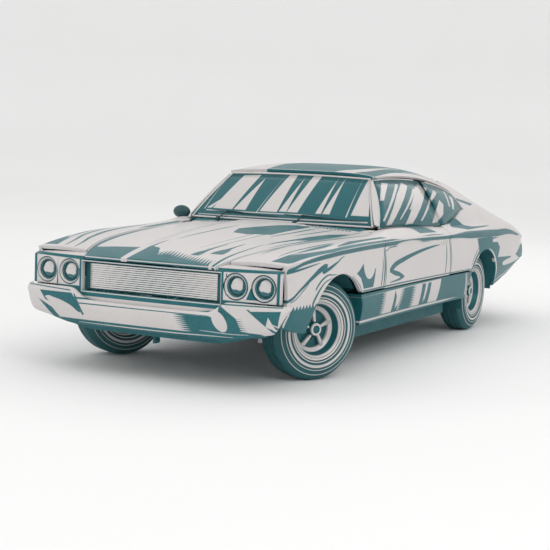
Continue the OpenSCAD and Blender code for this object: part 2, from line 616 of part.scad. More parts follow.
module floor_pan() {
    t = 6;
    w = half_width - 160;
    firewall_x = door_front_x + 60;
    color(DARK) difference() {
        union() {
            across(-w, w) polygon([
                [firewall_x, belt_z - 90], [firewall_x, 420], [firewall_x - 190, 284],
                    [door_rear_x - 260, 284],
                [door_rear_x - 300, 420], [rear_axle_x + 400, 420], [rear_axle_x + 300, 512],
                    [rear_axle_x - 270, 512],
                [rear_axle_x - 530, 430], [tail_x + 160, 430],
                [tail_x + 160, 430 + t], [rear_axle_x - 530, 430 + t], [rear_axle_x - 270, 512 + t],
                    [rear_axle_x + 296, 512 + t],
                [rear_axle_x + 396, 420 + t], [door_rear_x - 296, 420 + t], [door_rear_x - 256, 284 + t],
                [firewall_x - 192, 284 + t], [firewall_x - t, 423], [firewall_x - t, belt_z - 90]]);
            // Tunnel over the driveline
            across_tunnel(firewall_x - 4, door_rear_x - 290, 130 + t);
        }
        across_tunnel(firewall_x + 10, door_rear_x - 330, 130);
        // Openings for the tyres beside the rear floor
        pair() box([rear_axle_x - 440, wheel_y - tyre_width / 2 - 50, 300], [rear_axle_x + 440, w + 20,
            700]);
    }
}
module across_tunnel(x1, x0, r) {
    along(x0, x1) intersection() {
        translate([0, 284 + 40]) circle(r = r);
        translate([-r, 284]) square([2 * r, 2 * r]);
    }
}

module wheelhouses() {
    color(DARK) pair() {
        arch_shell(front_axle_x, front_arch + 22, arch_rise + 26, 462, half_width - 62, 565);
        arch_shell(rear_axle_x, rear_arch + 12, arch_rise + 26, wheel_y - tyre_width / 2 - 44,
            half_width - 62, 530);
    }
}
// Half tunnel over a tyre, with its inner wall, above the height z0
module arch_shell(xa, rx, rz, y0, y1, z0) {
    t = 6;
    function arc(rx, rz) = [for (i = [0:20]) let (a = 180 * i / 20) [xa + rx * cos(a), axle_z + rz
        * sin(a)]];
    difference() {
        across(y0, y1) polygon(arc(rx + t, rz + t));
        across(y0 + t, y1 + 1) polygon(arc(rx, rz));
        box([xa - 600, y0 - 1, 0], [xa + 600, y1 + 1, z0]);
    }
}

module engine() {
    color(METAL) box([front_axle_x - 480, -270, 330], [front_axle_x + 200, 270, 800]);
}
module driveline() {
    color(METAL) union() {
        across(-85, 85) polygon([[front_axle_x - 484, 250], [front_axle_x - 484, 400],
            [front_axle_x - 620, 385], [front_axle_x - 1150, 360],
            [front_axle_x - 1150, 260], [front_axle_x - 900, 230]]);
        rod([front_axle_x - 1140, 0, 310], [rear_axle_x + 178, 0, axle_z], 38);
    }
}
module rear_axle() {
    hub_y = wheel_y - 82;
    color(DARK) union() {
        translate([rear_axle_x, 0, axle_z]) rotate([90, 0, 0]) cylinder(h = 2 * hub_y, r = 38,
            center = true);
        translate([rear_axle_x, 0, axle_z]) sphere(r = 118);
        rod([rear_axle_x + 60, 0, axle_z], [rear_axle_x + 176, 0, axle_z], 52);
        pair() translate([rear_axle_x, hub_y, axle_z]) rotate([90, 0, 0]) cylinder(h = 50, r = 130,
            center = true);
        pair() translate([rear_axle_x, hub_y + 24, axle_z]) rotate([-90, 0, 0]) cylinder(h = 101, r = 24);
    }
}
module exhaust() {
    color(METAL) pair() {
        rod([front_axle_x - 500, 190, 262], [rear_axle_x + 900, 300, 225], 28);
        translate([rear_axle_x + 520, 300, 232]) rotate([0, 90, 0]) cylinder(h = 370, r = 42);
        across(280, 322) polygon([
            [rear_axle_x + 510, 214], [rear_axle_x + 400, 200], [rear_axle_x - 250, 212], [tail_x + 120,
                300],
            [tail_x + 120, 342], [tail_x + 420, 280], [rear_axle_x - 250, 254], [rear_axle_x + 400,
                242], [rear_axle_x + 510, 256]]);
    }
}

module fuel_tank() {
    color(DARK) box([tail_x + 270, -262, 290], [rear_axle_x - 420, 262, 415]);
}
kingpin_y = wheel_y - scrub;
lower_arm_z = axle_z - 125;
upper_arm_z = axle_z + 110;
module suspension() {
    color(METAL) pair() {
        control_arm(lower_arm_z, 30);
        control_arm(upper_arm_z, 24);
        // Coil and damper between the arms
        translate([front_axle_x, rail_front_y + 130, lower_arm_z
            + 30.5]) cylinder(h = upper_arm_z - lower_arm_z - 31, r = 52);
        // Leaf spring under the axle tube
        across(rail_rear_y - 62, rail_rear_y - 8) polygon([
            [rear_axle_x + 560, 232], [rear_axle_x + 180, 250], [rear_axle_x, 262], [rear_axle_x - 180,
                270], [rear_axle_x - 640, 330],
            [rear_axle_x - 640, 344], [rear_axle_x - 180, 290], [rear_axle_x, 286], [rear_axle_x + 180,
                272], [rear_axle_x + 560, 246]]);
    }
}
module control_arm(z, h) {
    y0 = rail_front_y + 66;
    y1 = kingpin_y + 24;
    translate([0, 0, z]) linear_extrude(h) polygon([
        [front_axle_x - 100, y0], [front_axle_x + 100, y0], [front_axle_x + 26, y1], [front_axle_x - 26,
            y1]]);
}

// ---- Cabin ----
column_y = 350;
wheel_hub = [glass_base_x - 430, column_y, belt_z - 95];
column_tilt = 24;
column_dir = [cos(column_tilt), 0, -sin(column_tilt)];
// Dashboard, with the end of the steering column below it
module dashboard() {
    x = glass_base_x;
    color(TRIM) rod(wheel_hub + 60 * column_dir, wheel_hub + 130 * column_dir, 34);
    color(TRIM) across(-half_width + 265, half_width - 265) polygon([
        [x - 60, belt_z - 25], [x - 160, belt_z - 22], [x - 270, belt_z - 40], [x - 300, belt_z - 75],
            [x - 260, belt_z - 190],
        [x - 200, belt_z - 260], [x - 60, belt_z - 260]]);
}
seat_x = door_rear_x + 130;
module seat(y, w) {
    color(TRIM) across(y - w / 2, y + w / 2) polygon([
        [seat_x + 520, 330], [seat_x + 540, 470], [seat_x + 500, 510], [seat_x + 130, 470],
            [seat_x + 30, 960], [seat_x - 30, 985],
        [seat_x - 75, 950], [seat_x + 10, 330]]);
}
module front_seats() {
    pair() seat(372, 440);
}
module rear_seat() {
    x = rear_axle_x;
    color(TRIM) across(-485, 485) polygon([
        [x + 490, 432], [x + 500, 560], [x + 470, 592], [x + 130, 560], [x + 30, belt_z - 70], [x - 30,
            belt_z - 70],
        [x + 45, 524], [x + 302, 524], [x + 402, 432]]);
}
module steering_wheel() {
    color(DARK) translate(wheel_hub) rotate([0, 90 + column_tilt, 0]) {
        rotate_extrude() translate([185, 0]) circle(r = 13);
        translate([0, 0, -12]) cylinder(h = 62, r = 40);
        for (a = [0, 120, 240]) rotate([0, 0, a + 90]) translate([30, -14, -5]) cube([150, 28, 8]);
    }
}

// ---- Wheels ----
module at_wheel(x, s, steer) {
    translate([x, s * (wheel_y - scrub), axle_z]) rotate([0, 0, -steer]) translate([0, s * scrub,
        0]) children();
}
module tyre() {
    r = tyre_diameter / 2;
    b = rim_diameter / 2;
    w = tyre_width / 2;
    color(RUBBER) rotate([90, 0, 0]) rotate_extrude() polygon([
        [b, -w + 22], [b + 16, -w + 8], [lerp(b, r, 0.5), -w], [r - 28, -w + 8], [r - 6, -w + 26],
            [r, -w + 44],
        [r, w - 44], [r - 6, w - 26], [r - 28, w - 8], [lerp(b, r, 0.5), w], [b + 16, w - 8], [b, w - 22]]);
}
module rim(s) {
    b = rim_diameter / 2;
    w = tyre_width / 2;
    color(CHROME) rotate([-s * 90, 0, 0]) difference() {
        union() {
            rotate_extrude() polygon([
                [b - 24, -w + 24], [b, -w + 24], [b, w - 22], [b + 10, w - 12], [b + 6, w - 8], [b - 12,
                    w - 22], [b - 24, w - 40]]);
            rotate_extrude() polygon([[0, 12], [b - 23, 12], [b - 23, 26], [70, 46], [52, 52], [50, 84],
                [0, 88]]);
        }
        for (i = [0:4]) rotate([0, 0, i * 72 + 36]) translate([112, 0, -50]) cylinder(h = 200, r = 38);
        translate([0, 0, -50]) cylinder(h = 100, r = 24.05);
    }
}
module tyre_front_left() { at_wheel(front_axle_x, 1, rest_steer) tyre(); }
module tyre_front_right() { at_wheel(front_axle_x, -1, rest_steer) tyre(); }
module tyre_rear_left() { at_wheel(rear_axle_x, 1, 0) tyre(); }
module tyre_rear_right() { at_wheel(rear_axle_x, -1, 0) tyre(); }
module rim_front_left() { at_wheel(front_axle_x, 1, rest_steer) rim(1); }
module rim_front_right() { at_wheel(front_axle_x, -1, rest_steer) rim(-1); }
module rim_rear_left() { at_wheel(rear_axle_x, 1, 0) rim(1); }
module rim_rear_right() { at_wheel(rear_axle_x, -1, 0) rim(-1); }

// Steering arm's end, from the steering axis: back and inboard
arm_end = [-100, -10];
rod_z = -76;
module knuckle(s) {
    color(METAL) union() {
        translate([0, -s * scrub, -88]) cylinder(h = 190, r = 22);
        translate([0, -s * (scrub - 20), 0]) rotate([-s * 90, 0, 0]) cylinder(h = scrub - 30, r = 34);
        translate([0, -s * 40, 0]) rotate([-s * 90, 0, 0]) cylinder(h = 88, r = 24);
        translate([0, -s * 34, 0]) rotate([-s * 90, 0, 0]) cylinder(h = 22, r = 135);
        translate([0, -s * scrub, -58]) linear_extrude(24) polygon([
            [arm_end[0] - 16, s * (arm_end[1] - 12)], [arm_end[0] - 16, s * (arm_end[1] + 12)],
                [0, s * 18], [0, -s * 18]]);
    }
}
module knuckle_left() { at_wheel(front_axle_x, 1, rest_steer) knuckle(1); }
module knuckle_right() { at_wheel(front_axle_x, -1, rest_steer) knuckle(-1); }
function turned(p, a) = [p[0] * cos(a) - p[1] * sin(a), p[0] * sin(a) + p[1] * cos(a)];
module tie_rods() {
    ends = [for (s = [1, -1]) let (p = turned([arm_end[0], s * arm_end[1]], -rest_steer))
        [front_axle_x + p[0], s * kingpin_y + p[1], axle_z + rod_z]];
    color(METAL) union() {
        rod(ends[0], ends[1], 11);
        for (e = ends) translate(e - [0, 0, 12]) cylinder(h = 24, r = 16);
    }
}
// Rounded pod on a short stalk, on the right door only
module door_mirror() {
    x = door_front_x - 285;
    y = -(half_width - 76);
    color(CHROME) union() {
        translate([x, y, belt_z + 44]) rotate([0, 90, 0]) rotate_extrude()
            polygon(concat([[0, 0], [44, 0]], [for (a = [10:10:90]) [44 * cos(a), 10 + 64 * sin(a)]]));
        rod([x + 22, y, belt_z + 8.5], [x + 22, y, belt_z + 20], 14);
    }
}

// ---- What is drawn ----
chassis_frame();
cross_members();
floor_pan();
rocker_panels();
front_fenders();
quarter_panels();
roof();
windshield_pillars();
cowl();
rear_deck_panel();
package_shelf();
tail_panel();
front_bumper();
rear_bumper();
nose_panel();
grille();
headlamps();
tail_lamps();
front_valance();
fixed_glass();
dashboard();
front_seats();
rear_seat();
engine();
driveline();
rear_axle();
exhaust();
fuel_tank();
suspension();
wheelhouses();
hood();
trunk_lid();
door_left();
door_right();
door_glass_left();
door_glass_right();
door_mirror();
knuckle_left();
knuckle_right();
tie_rods();
steering_wheel();
tyre_front_left();
tyre_front_right();
tyre_rear_left();
tyre_rear_right();
rim_front_left();
rim_front_right();
rim_rear_left();
rim_rear_right();
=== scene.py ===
"""Two-door muscle car in two tones: painted body, glass, wheels, cabin and underside, with much of the
shade and reflections painted on as teal shapes.
"""
import json
from math import cos, hypot, pi, radians, sin

import bmesh
import bpy
from mathutils import Matrix, Vector
from mathutils.bvhtree import BVHTree


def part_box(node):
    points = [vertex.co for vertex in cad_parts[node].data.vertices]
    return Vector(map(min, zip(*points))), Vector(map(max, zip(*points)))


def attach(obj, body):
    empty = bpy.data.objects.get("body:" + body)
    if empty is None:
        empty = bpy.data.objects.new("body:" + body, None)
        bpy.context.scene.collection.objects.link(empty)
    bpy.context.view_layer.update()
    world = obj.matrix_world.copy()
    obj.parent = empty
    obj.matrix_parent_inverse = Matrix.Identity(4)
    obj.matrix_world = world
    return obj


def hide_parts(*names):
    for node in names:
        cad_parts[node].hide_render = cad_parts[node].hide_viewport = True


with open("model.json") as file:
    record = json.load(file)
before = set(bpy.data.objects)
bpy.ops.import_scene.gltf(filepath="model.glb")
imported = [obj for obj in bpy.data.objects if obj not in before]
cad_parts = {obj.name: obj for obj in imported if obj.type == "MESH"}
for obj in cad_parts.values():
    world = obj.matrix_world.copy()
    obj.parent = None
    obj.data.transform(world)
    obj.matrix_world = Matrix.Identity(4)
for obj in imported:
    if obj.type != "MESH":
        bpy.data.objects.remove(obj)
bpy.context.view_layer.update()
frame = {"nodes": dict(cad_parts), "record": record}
nodes = frame["nodes"]

# Colours of the two-tone print, in linear light
PALE = (0.60, 0.575, 0.568)
TEAL = (0.012, 0.118, 0.136)
DEEP = (0.008, 0.060, 0.070)
BRIGHT = (0.66, 0.645, 0.635)

# Wheel centres, and the arches' half length and height
FRONT_AXLE, REAR_AXLE = [sum(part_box("tyre_" + end + "_left"), Vector()) / 2 for end in ("front", "rear")]
FRONT_ARCH = (0.405, 0.365)
REAR_ARCH = (0.375, 0.365)
JOINTS = {joint["name"]: joint for joint in frame["record"]["behaviour"]["joints"]}

SIDES = ((1, "left"), (-1, "right"))

# Headlamps: the centre of each one's front face, the outer pair a little further back
LAMP_LOW, LAMP_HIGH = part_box("headlamps")
LAMP_R = (LAMP_HIGH.z - LAMP_LOW.z) / 2
LAMPS = [Vector((LAMP_HIGH.x + ahead, s * y, LAMP_LOW.z + LAMP_R))
         for s, _ in SIDES for y, ahead in ((0.610, 0.002), (0.795, -0.009))]

# Crease along the side: station and height
CREASE = [(-2.57, 0.735), (-2.23, 0.779), (-1.61, 0.828), (-1.06, 0.842), (-0.37, 0.848), (0.36, 0.857),
          (0.96, 0.855), (1.43, 0.850), (1.90, 0.831), (2.31, 0.801), (2.57, 0.767)]
# The shoulder, where the side turns into the top: station and half width
SHOULDER = [(-2.57, 0.785), (-2.23, 0.863), (-1.56, 0.905), (-0.475, 0.910), (0.68, 0.935), (1.02, 0.901),
            (1.53, 0.881), (2.01, 0.859), (2.23, 0.831), (2.44, 0.790), (2.57, 0.755)]
# The hood's side edge and the ridge along its raised middle: station and half width
HOOD_EDGE = [(0.905, 0.708), (1.405, 0.680), (1.81, 0.636), (2.10, 0.592), (2.37, 0.530), (2.52, 0.486)]
HOOD_RIDGE = [(0.905, 0.290), (1.53, 0.262), (1.956, 0.228), (2.205, 0.196), (2.47, 0.110)]
# Lower edge of the tail behind the rear wheel
TAIL_EDGE = [(-2.57, 0.535), (-2.34, 0.488), (-2.04, 0.430), (-1.75, 0.380), (-1.51, 0.340)]


# ---------------------------------------------------------------- finishes
class Value:
    """A shader socket, so that masks and sums are written as plain expressions."""

    def __init__(self, finish, socket):
        self.finish, self.socket = finish, socket

    def math(self, operation, *others, clamp=False):
        settings = {"operation": operation, "use_clamp": clamp}
        return self.finish.node("ShaderNodeMath", settings, (self,) + others)

    def __add__(self, other):
        return self.math("ADD", other)

    def __sub__(self, other):
        return self.math("SUBTRACT", other)

    def __rsub__(self, other):
        return self.math("MULTIPLY_ADD", -1.0, other)

    def __mul__(self, other):
        return self.math("MULTIPLY", other)

    def __neg__(self):
        return self.math("MULTIPLY", -1.0)

    def __abs__(self):
        return self.math("ABSOLUTE")

    def __or__(self, other):
        return self.math("MAXIMUM", other)

    def __and__(self, other):
        return self.math("MINIMUM", other)

    __radd__ = __add__
    __rmul__ = __mul__

    def edge(self, soft=0.003):
        """0 outside and 1 inside a shape whose signed depth this is."""
        return self.math("MULTIPLY_ADD", 1 / soft, 0.5, clamp=True)


class Finish:
    """A material built round one Principled shader; its fixed sockets are set by name."""

    def __init__(self, name, **fixed):
        self.material = bpy.data.materials.new(name)
        self.material.use_nodes = True
        self.tree = self.material.node_tree
        self.shader = self.tree.nodes["Principled BSDF"]
        for key, value in fixed.items():
            self.shader.inputs[key.replace("_", " ").title().replace("Ior", "IOR")].default_value = value
        self.object = self.node("ShaderNodeTexCoord", output="Object")

    def node(self, kind, settings=None, inputs=(), output=0):
        made = self.tree.nodes.new(kind)
        for key, value in (settings or {}).items():
            if key == "points":
                curve = made.mapping.curves[0]
                for place in value[1:-1]:
                    curve.points.new(*place)
                for point, place in zip((curve.points[0], curve.points[-1]), (value[0], value[-1])):
                    point.location = place
                made.mapping.update()
            else:
                setattr(made, key, value)
        for key, value in inputs.items() if isinstance(inputs, dict) else enumerate(inputs):
            if isinstance(value, Value):
                self.tree.links.new(value.socket, made.inputs[key])
            else:
                made.inputs[key].default_value = value
        return Value(self, made.outputs[output])

    def axes(self, names="XYZ"):
        parts = self.node("ShaderNodeSeparateXYZ", inputs=(self.object,))
        return [Value(self, parts.socket.node.outputs[name]) for name in names]

    def plane(self, across, up):
        return self.node("ShaderNodeCombineXYZ", inputs=(across, up, 1.0))

    def noise(self, scale, detail=2.0, rough=0.5):
        return self.node("ShaderNodeTexNoise", inputs={
            "Vector": self.object, "Scale": scale, "Detail": detail, "Roughness": rough})

    def specks(self, scale, size):
        cells = self.node("ShaderNodeTexVoronoi", inputs={"Vector": self.object, "Scale": scale})
        return (size - cells).edge(size)

    def patch(self, plane, *corners):
        """Depth inside a convex patch, with its corners listed in order."""
        loop = list(zip(corners, corners[1:] + corners[:1]))
        turn = 1 if sum(a[0] * b[1] - b[0] * a[1] for a, b in loop) > 0 else -1
        depth = None
        for a, b in loop:
            size = turn * hypot(b[0] - a[0], b[1] - a[1])
            n = ((a[1] - b[1]) / size, (b[0] - a[0]) / size)
            side = self.node("ShaderNodeVectorMath", {"operation": "DOT_PRODUCT"},
                             (plane, (n[0], n[1], -n[0] * a[0] - n[1] * a[1])), "Value")
            depth = side if depth is None else depth & side
        return depth

    def line(self, along, points):
        """A smooth line through (station, value) points."""
        xs, vs = zip(*points)
        x0, x1, v0, v1 = xs[0], xs[-1], min(vs), max(max(vs), min(vs) + 1e-4)
        share = along.math("MULTIPLY_ADD", 1 / (x1 - x0), -x0 / (x1 - x0), clamp=True)
        curve = self.node("ShaderNodeFloatCurve", {"points": [
            ((x - x0) / (x1 - x0), (v - v0) / (v1 - v0)) for x, v in points]}, {"Value": share})
        return curve.math("MULTIPLY_ADD", v1 - v0, v0)

    def stroke(self, along, across, points):
        """Depth inside a brush stroke through (station, centre, half width) points."""
        ends = [(points[0][0] - 0.004, points[0][1], -0.004), *points,
                (points[-1][0] + 0.004, points[-1][1], -0.004)]
        width = self.line(along, [(p[0], p[2]) for p in ends])
        return width - abs(across - self.line(along, [(p[0], p[1]) for p in ends]))

    def disc(self, plane, centre, radius):
        away = self.node("ShaderNodeVectorMath", {"operation": "DISTANCE"}, (plane, (*centre, 1.0)),
                         "Value")
        return radius - away

    def teeth(self, along, pitch, depth):
        """A row of points: 0 to depth and back, once in every pitch."""
        return along.math("PINGPONG", pitch / 2) * (2 * depth / pitch)

    def mix(self, share, first, second):
        a, b = (value if isinstance(value, Value) else (*value, 1) for value in (first, second))
        inputs = {0: share, 6: a, 7: b}
        return self.node("ShaderNodeMix", {"data_type": "RGBA"}, inputs, 2)

    def feed(self, socket, value):
        self.tree.links.new(value.socket, self.shader.inputs[socket])

    def bump(self, height, strength, distance):
        self.feed("Normal", self.node("ShaderNodeBump", inputs={
            "Strength": strength, "Distance": distance, "Height": height}))


def enamel(name):
    return Finish(name, coat_weight=0.08, coat_roughness=0.2, specular_ior_level=0.25)


def enamel_with_painted_shade_and_lines(finish, dark, coat_rough=0.3):
    """Pale enamel with teal shapes, most of them painted shade and painted reflections and some dark lines,
    worn in fine specks; dark is the shapes' signed depth.
    """
    wear = finish.specks(9.0, 0.030) * finish.noise(2.2).math("GREATER_THAN", 0.52)
    shade = finish.noise(3.0, 3.0)
    mask = abs(dark.edge() - wear * 0.8)
    light = finish.mix(shade, tuple(c * 0.94 for c in PALE), tuple(c * 1.05 for c in PALE))
    deep = finish.mix(finish.noise(14.0, 4.0), tuple(c * 0.82 for c in TEAL), tuple(c * 1.22 for c in TEAL))
    finish.feed("Base Color", finish.mix(mask, light, deep))
    finish.feed("Roughness", finish.noise(60.0, 2.0) * 0.14 + coat_rough)
    finish.bump(finish.noise(420.0, 2.0), 0.04, 0.002)
    return finish.material


def arch_depth(finish, x, z, centre, arch):
    """How far outside a wheel arch a point of the side lies."""
    away = finish.node("ShaderNodeVectorMath", {"operation": "LENGTH"}, (
        finish.node("ShaderNodeCombineXYZ", inputs=(
            (x - centre.x) * (arch[1] / arch[0]), z - centre.z, 0.0)),), "Value")
    return away - arch[1]


def joined(shapes):
    """The union of several shapes, as one signed depth."""
    whole = shapes[0]
    for shape in shapes[1:]:
        whole = whole | shape
    return whole


def side_paint():
    """Fenders, doors and quarters: painted shade along the creases and painted reflections as flames and
    streaks, over the pale enamel.
    """
    f = enamel("side_paint")
    x, y, z = f.axes()
    side = f.plane(x, z)
    rise = z - f.line(x, CREASE)
    front_lip = arch_depth(f, x, z, FRONT_AXLE, FRONT_ARCH)
    rear_lip = arch_depth(f, x, z, REAR_AXLE, REAR_ARCH)
    # Painted shade and painted reflection lines that follow the crease
    lines = [
        # Shade under the crease, spreading into a broad flash over the tail
        f.stroke(x, rise + f.teeth(x, 0.024, 0.005), [
            (-2.34, -0.004, 0.002), (-2.00, 0.004, 0.020), (-1.50, -0.012, 0.030), (-1.0, -0.012, 0.031),
            (-0.6, -0.008, 0.021), (-0.3, -0.012, 0.014), (0.3, -0.013, 0.014), (0.96, -0.012, 0.016),
            (1.5, -0.012, 0.016), (2.0, -0.010, 0.016), (2.25, -0.016, 0.012), (2.43, -0.030, 0.009)]),
        f.stroke(x, rise, [(-0.25, 0.012, 0.001), (0.3, 0.013, 0.005), (1.0, 0.011, 0.006),
                           (1.8, 0.013, 0.008), (2.2, 0.018, 0.009), (2.40, 0.012, 0.007)]),
        f.stroke(x, rise, [(0.25, 0.036, 0.001), (0.8, 0.034, 0.005), (1.3, 0.031, 0.006),
                           (1.72, 0.026, 0.002)]),
        # Painted shade along the top edge of the fender
        f.stroke(x, rise, [(1.62, 0.040, 0.001), (1.85, 0.041, 0.007), (2.05, 0.043, 0.011),
                           (2.30, 0.030, 0.010),
                           (2.43, 0.020, 0.003)]) & (abs(y) - f.line(x, SHOULDER) + 0.010),
        f.stroke(x, rise, [(0.05, -0.034, 0.001), (0.5, -0.036, 0.003), (0.85, -0.040, 0.004),
                           (0.95, -0.060, 0.002)]),
        f.stroke(x, rise, [(2.02, -0.044, 0.001), (2.30, -0.048, 0.007), (2.43, -0.044, 0.009)]),
    ]
    fender = [
        # Painted shade along a lightning-shaped crease from the nose's lower corner
        f.stroke(x, z, [(1.93, 0.757, 0.014), (1.99, 0.748, 0.017), (2.15, 0.695, 0.013),
                        (2.28, 0.641, 0.010), (2.45, 0.572, 0.009)]),
        f.stroke(x, z, [(1.66, 0.802, 0.001), (1.78, 0.770, 0.006), (1.92, 0.735, 0.011),
                        (2.00, 0.720, 0.009)]),
        f.patch(side, (1.915, 0.766), (1.965, 0.772), (2.010, 0.720), (1.985, 0.710)),
        f.stroke(x, z, [(2.12, 0.694, 0.001), (2.25, 0.632, 0.004), (2.40, 0.566, 0.003)]),
        # Painted shade on the lower corner, with a toothed edge
        f.patch(f.plane(x, z + f.teeth(x, 0.040, 0.028)), (2.07, 0.30), (2.46, 0.30), (2.46, 0.540),
                (2.07, 0.540))
        & -f.stroke(z, x, [(0.41, 2.405, 0.002), (0.44, 2.412, 0.010), (0.51, 2.395, 0.003)]),
        # Painted shade in streaks round the front arch
        f.stroke(x, front_lip, [(1.80, 0.002, 0.001), (1.95, 0.038, 0.005), (2.10, 0.056, 0.006)]),
        f.stroke(x, front_lip, [(1.86, -0.004, 0.001), (2.0, 0.016, 0.005), (2.13, 0.020, 0.010)]),
        f.stroke(x, front_lip, [(1.36, 0.012, 0.004), (1.42, 0.006, 0.005), (1.52, 0.0, 0.002)]),
        f.stroke(x, front_lip, [(1.38, 0.042, 0.003), (1.46, 0.030, 0.003), (1.56, 0.020, 0.001)]),
    ]
    # Painted reflection behind the front arch, flame-shaped, with a pale disc left in it
    flame_reflection = joined([f.patch(side, (1.53, 0.662), (1.42, 0.705), (1.34, 0.690), (1.37, 0.620),
                            (1.41, 0.640)),
                    f.patch(side, (1.45, 0.690), (1.27, 0.790), (1.34, 0.660)),
                    f.patch(side, (1.43, 0.66), (1.355, 0.566), (1.185, 0.566), (1.150, 0.690),
                            (1.37, 0.690))])
    cup = f.disc(side, (1.262, 0.730), 0.103)
    door = [
        # Painted reflection in a sweeping hook
        f.stroke(x, z, [(-0.16, 0.785, 0.001), (0.10, 0.772, 0.009), (0.40, 0.745, 0.013),
                        (0.60, 0.720, 0.017), (0.75, 0.698, 0.019), (0.84, 0.672, 0.022),
                        (0.885, 0.658, 0.012)]),
        f.stroke(x, z, [(0.63, 0.602, 0.012), (0.70, 0.618, 0.016), (0.80, 0.636, 0.017),
                        (0.88, 0.654, 0.012)]),
        f.stroke(x, z, [(0.60, 0.596, 0.008), (0.64, 0.590, 0.011), (0.72, 0.579, 0.007),
                        (0.87, 0.572, 0.002)]),
        # Dark lines at the door's edges, and painted shade in streaks beside them
        f.stroke(z, x, [(0.545, 0.988, 0.003), (0.60, 0.985, 0.010), (0.72, 0.976, 0.012),
                        (0.82, 0.972, 0.003)]),
        f.stroke(z, x, [(0.55, 1.034, 0.002), (0.60, 1.030, 0.009), (0.76, 1.010, 0.002)]),
        f.stroke(z, x, [(0.55, 0.953, 0.003), (0.85, 0.953, 0.003)]),
        f.stroke(z, x, [(0.56, -0.262, 0.005), (0.70, -0.275, 0.008), (0.80, -0.288, 0.002)]),
        f.stroke(z, x, [(0.54, -0.362, 0.004), (0.70, -0.360, 0.007), (0.84, -0.358, 0.004)]),
        f.stroke(z, x, [(0.56, -0.385, 0.002), (0.82, -0.385, 0.002)]),
        f.patch(side, (0.28, 0.930), (0.00, 0.930), (-0.13, 0.880), (0.22, 0.886)),
        # Fine line above the sill
        f.stroke(x, z, [(-0.90, 0.551, 0.003), (0.2, 0.551, 0.0045), (1.37, 0.551, 0.005)]),
    ]
    # Painted shade and painted reflections over the quarter and the tail
    tail = [
        f.patch(side, (-0.56, 0.900), (-0.56, 0.945), (-0.73, 0.962), (-0.88, 0.890), (-0.80, 0.876)),
        f.stroke(x, z, [(-1.42, 0.883, 0.001), (-1.0, 0.883, 0.008), (-0.80, 0.890, 0.016)]),
        f.patch(side, (-1.04, 1.120), (-1.04, 1.025), (-1.30, 1.048), (-1.60, 0.992), (-1.40, 1.065)),
        f.stroke(x, z, [(-1.95, 0.955, 0.002), (-1.6, 1.075, 0.005), (-1.35, 1.160, 0.003)]),
        f.patch(f.plane(x + f.teeth(z, 0.014, 0.03), z), (-0.99, 0.793), (-1.02, 0.60), (-1.40, 0.60),
                (-1.40, 0.793)),
        f.patch(side, (-1.38, 0.786), (-1.38, 0.766), (-1.62, 0.778)),
        f.patch(side, (-1.36, 0.745), (-1.36, 0.60), (-1.56, 0.60), (-1.62, 0.690), (-1.56, 0.738)),
        f.stroke(x, rear_lip, [(-1.05, 0.026, 0.008), (-0.95, 0.024, 0.014), (-0.84, 0.020, 0.014)]),
        f.stroke(x, rear_lip, [(-1.02, 0.060, 0.001), (-0.92, 0.062, 0.005), (-0.86, 0.060, 0.003)]),
        # Painted shade on the tail's belly, with a painted pool of light in it
        f.patch(side, (-1.48, 0.61), (-1.56, 0.33), (-1.80, 0.35), (-2.00, 0.59)),
        f.patch(side, (-1.80, 0.595), (-1.90, 0.36), (-2.60, 0.48), (-2.60, 0.560), (-2.20, 0.560)),
        # Painted shade at the tail's end, rising to the rear
        f.patch(side, (-1.99, 0.650), (-2.20, 0.588), (-2.35, 0.552), (-2.60, 0.545), (-2.60, 0.735),
                (-2.40, 0.668)),
    ]
    # Painted highlights cut out of the tail's shade: a pool of light in the belly, a glint above the lower
    # edge and a line along the rear arch's lip
    light_pool = f.stroke(x, z, [(-2.34, 0.552, 0.003), (-2.15, 0.552, 0.022), (-1.90, 0.546, 0.026),
                           (-1.74, 0.540, 0.012)])
    glint = f.stroke(x, z - f.line(x, TAIL_EDGE),
                     [(-2.50, 0.030, 0.002), (-2.0, 0.034, 0.005), (-1.60, 0.040, 0.003)])
    rear_lip_highlight = f.stroke(x, rear_lip, [(-1.585, 0.016, 0.012), (-1.45, 0.012, 0.010), (-1.30, 0.008, 0.002)])
    crown = fender_top(f, x, y) & (f.line(x, SHOULDER) - abs(y) + 0.004) & (x - 0.9)
    outer = abs(y) - f.line(x, SHOULDER) + 0.012
    dark = joined([flame_reflection & -cup, joined(tail) & -light_pool & -glint & -rear_lip_highlight, crown, joined(lines) & outer]
                  + fender + door)
    return enamel_with_painted_shade_and_lines(f, dark)


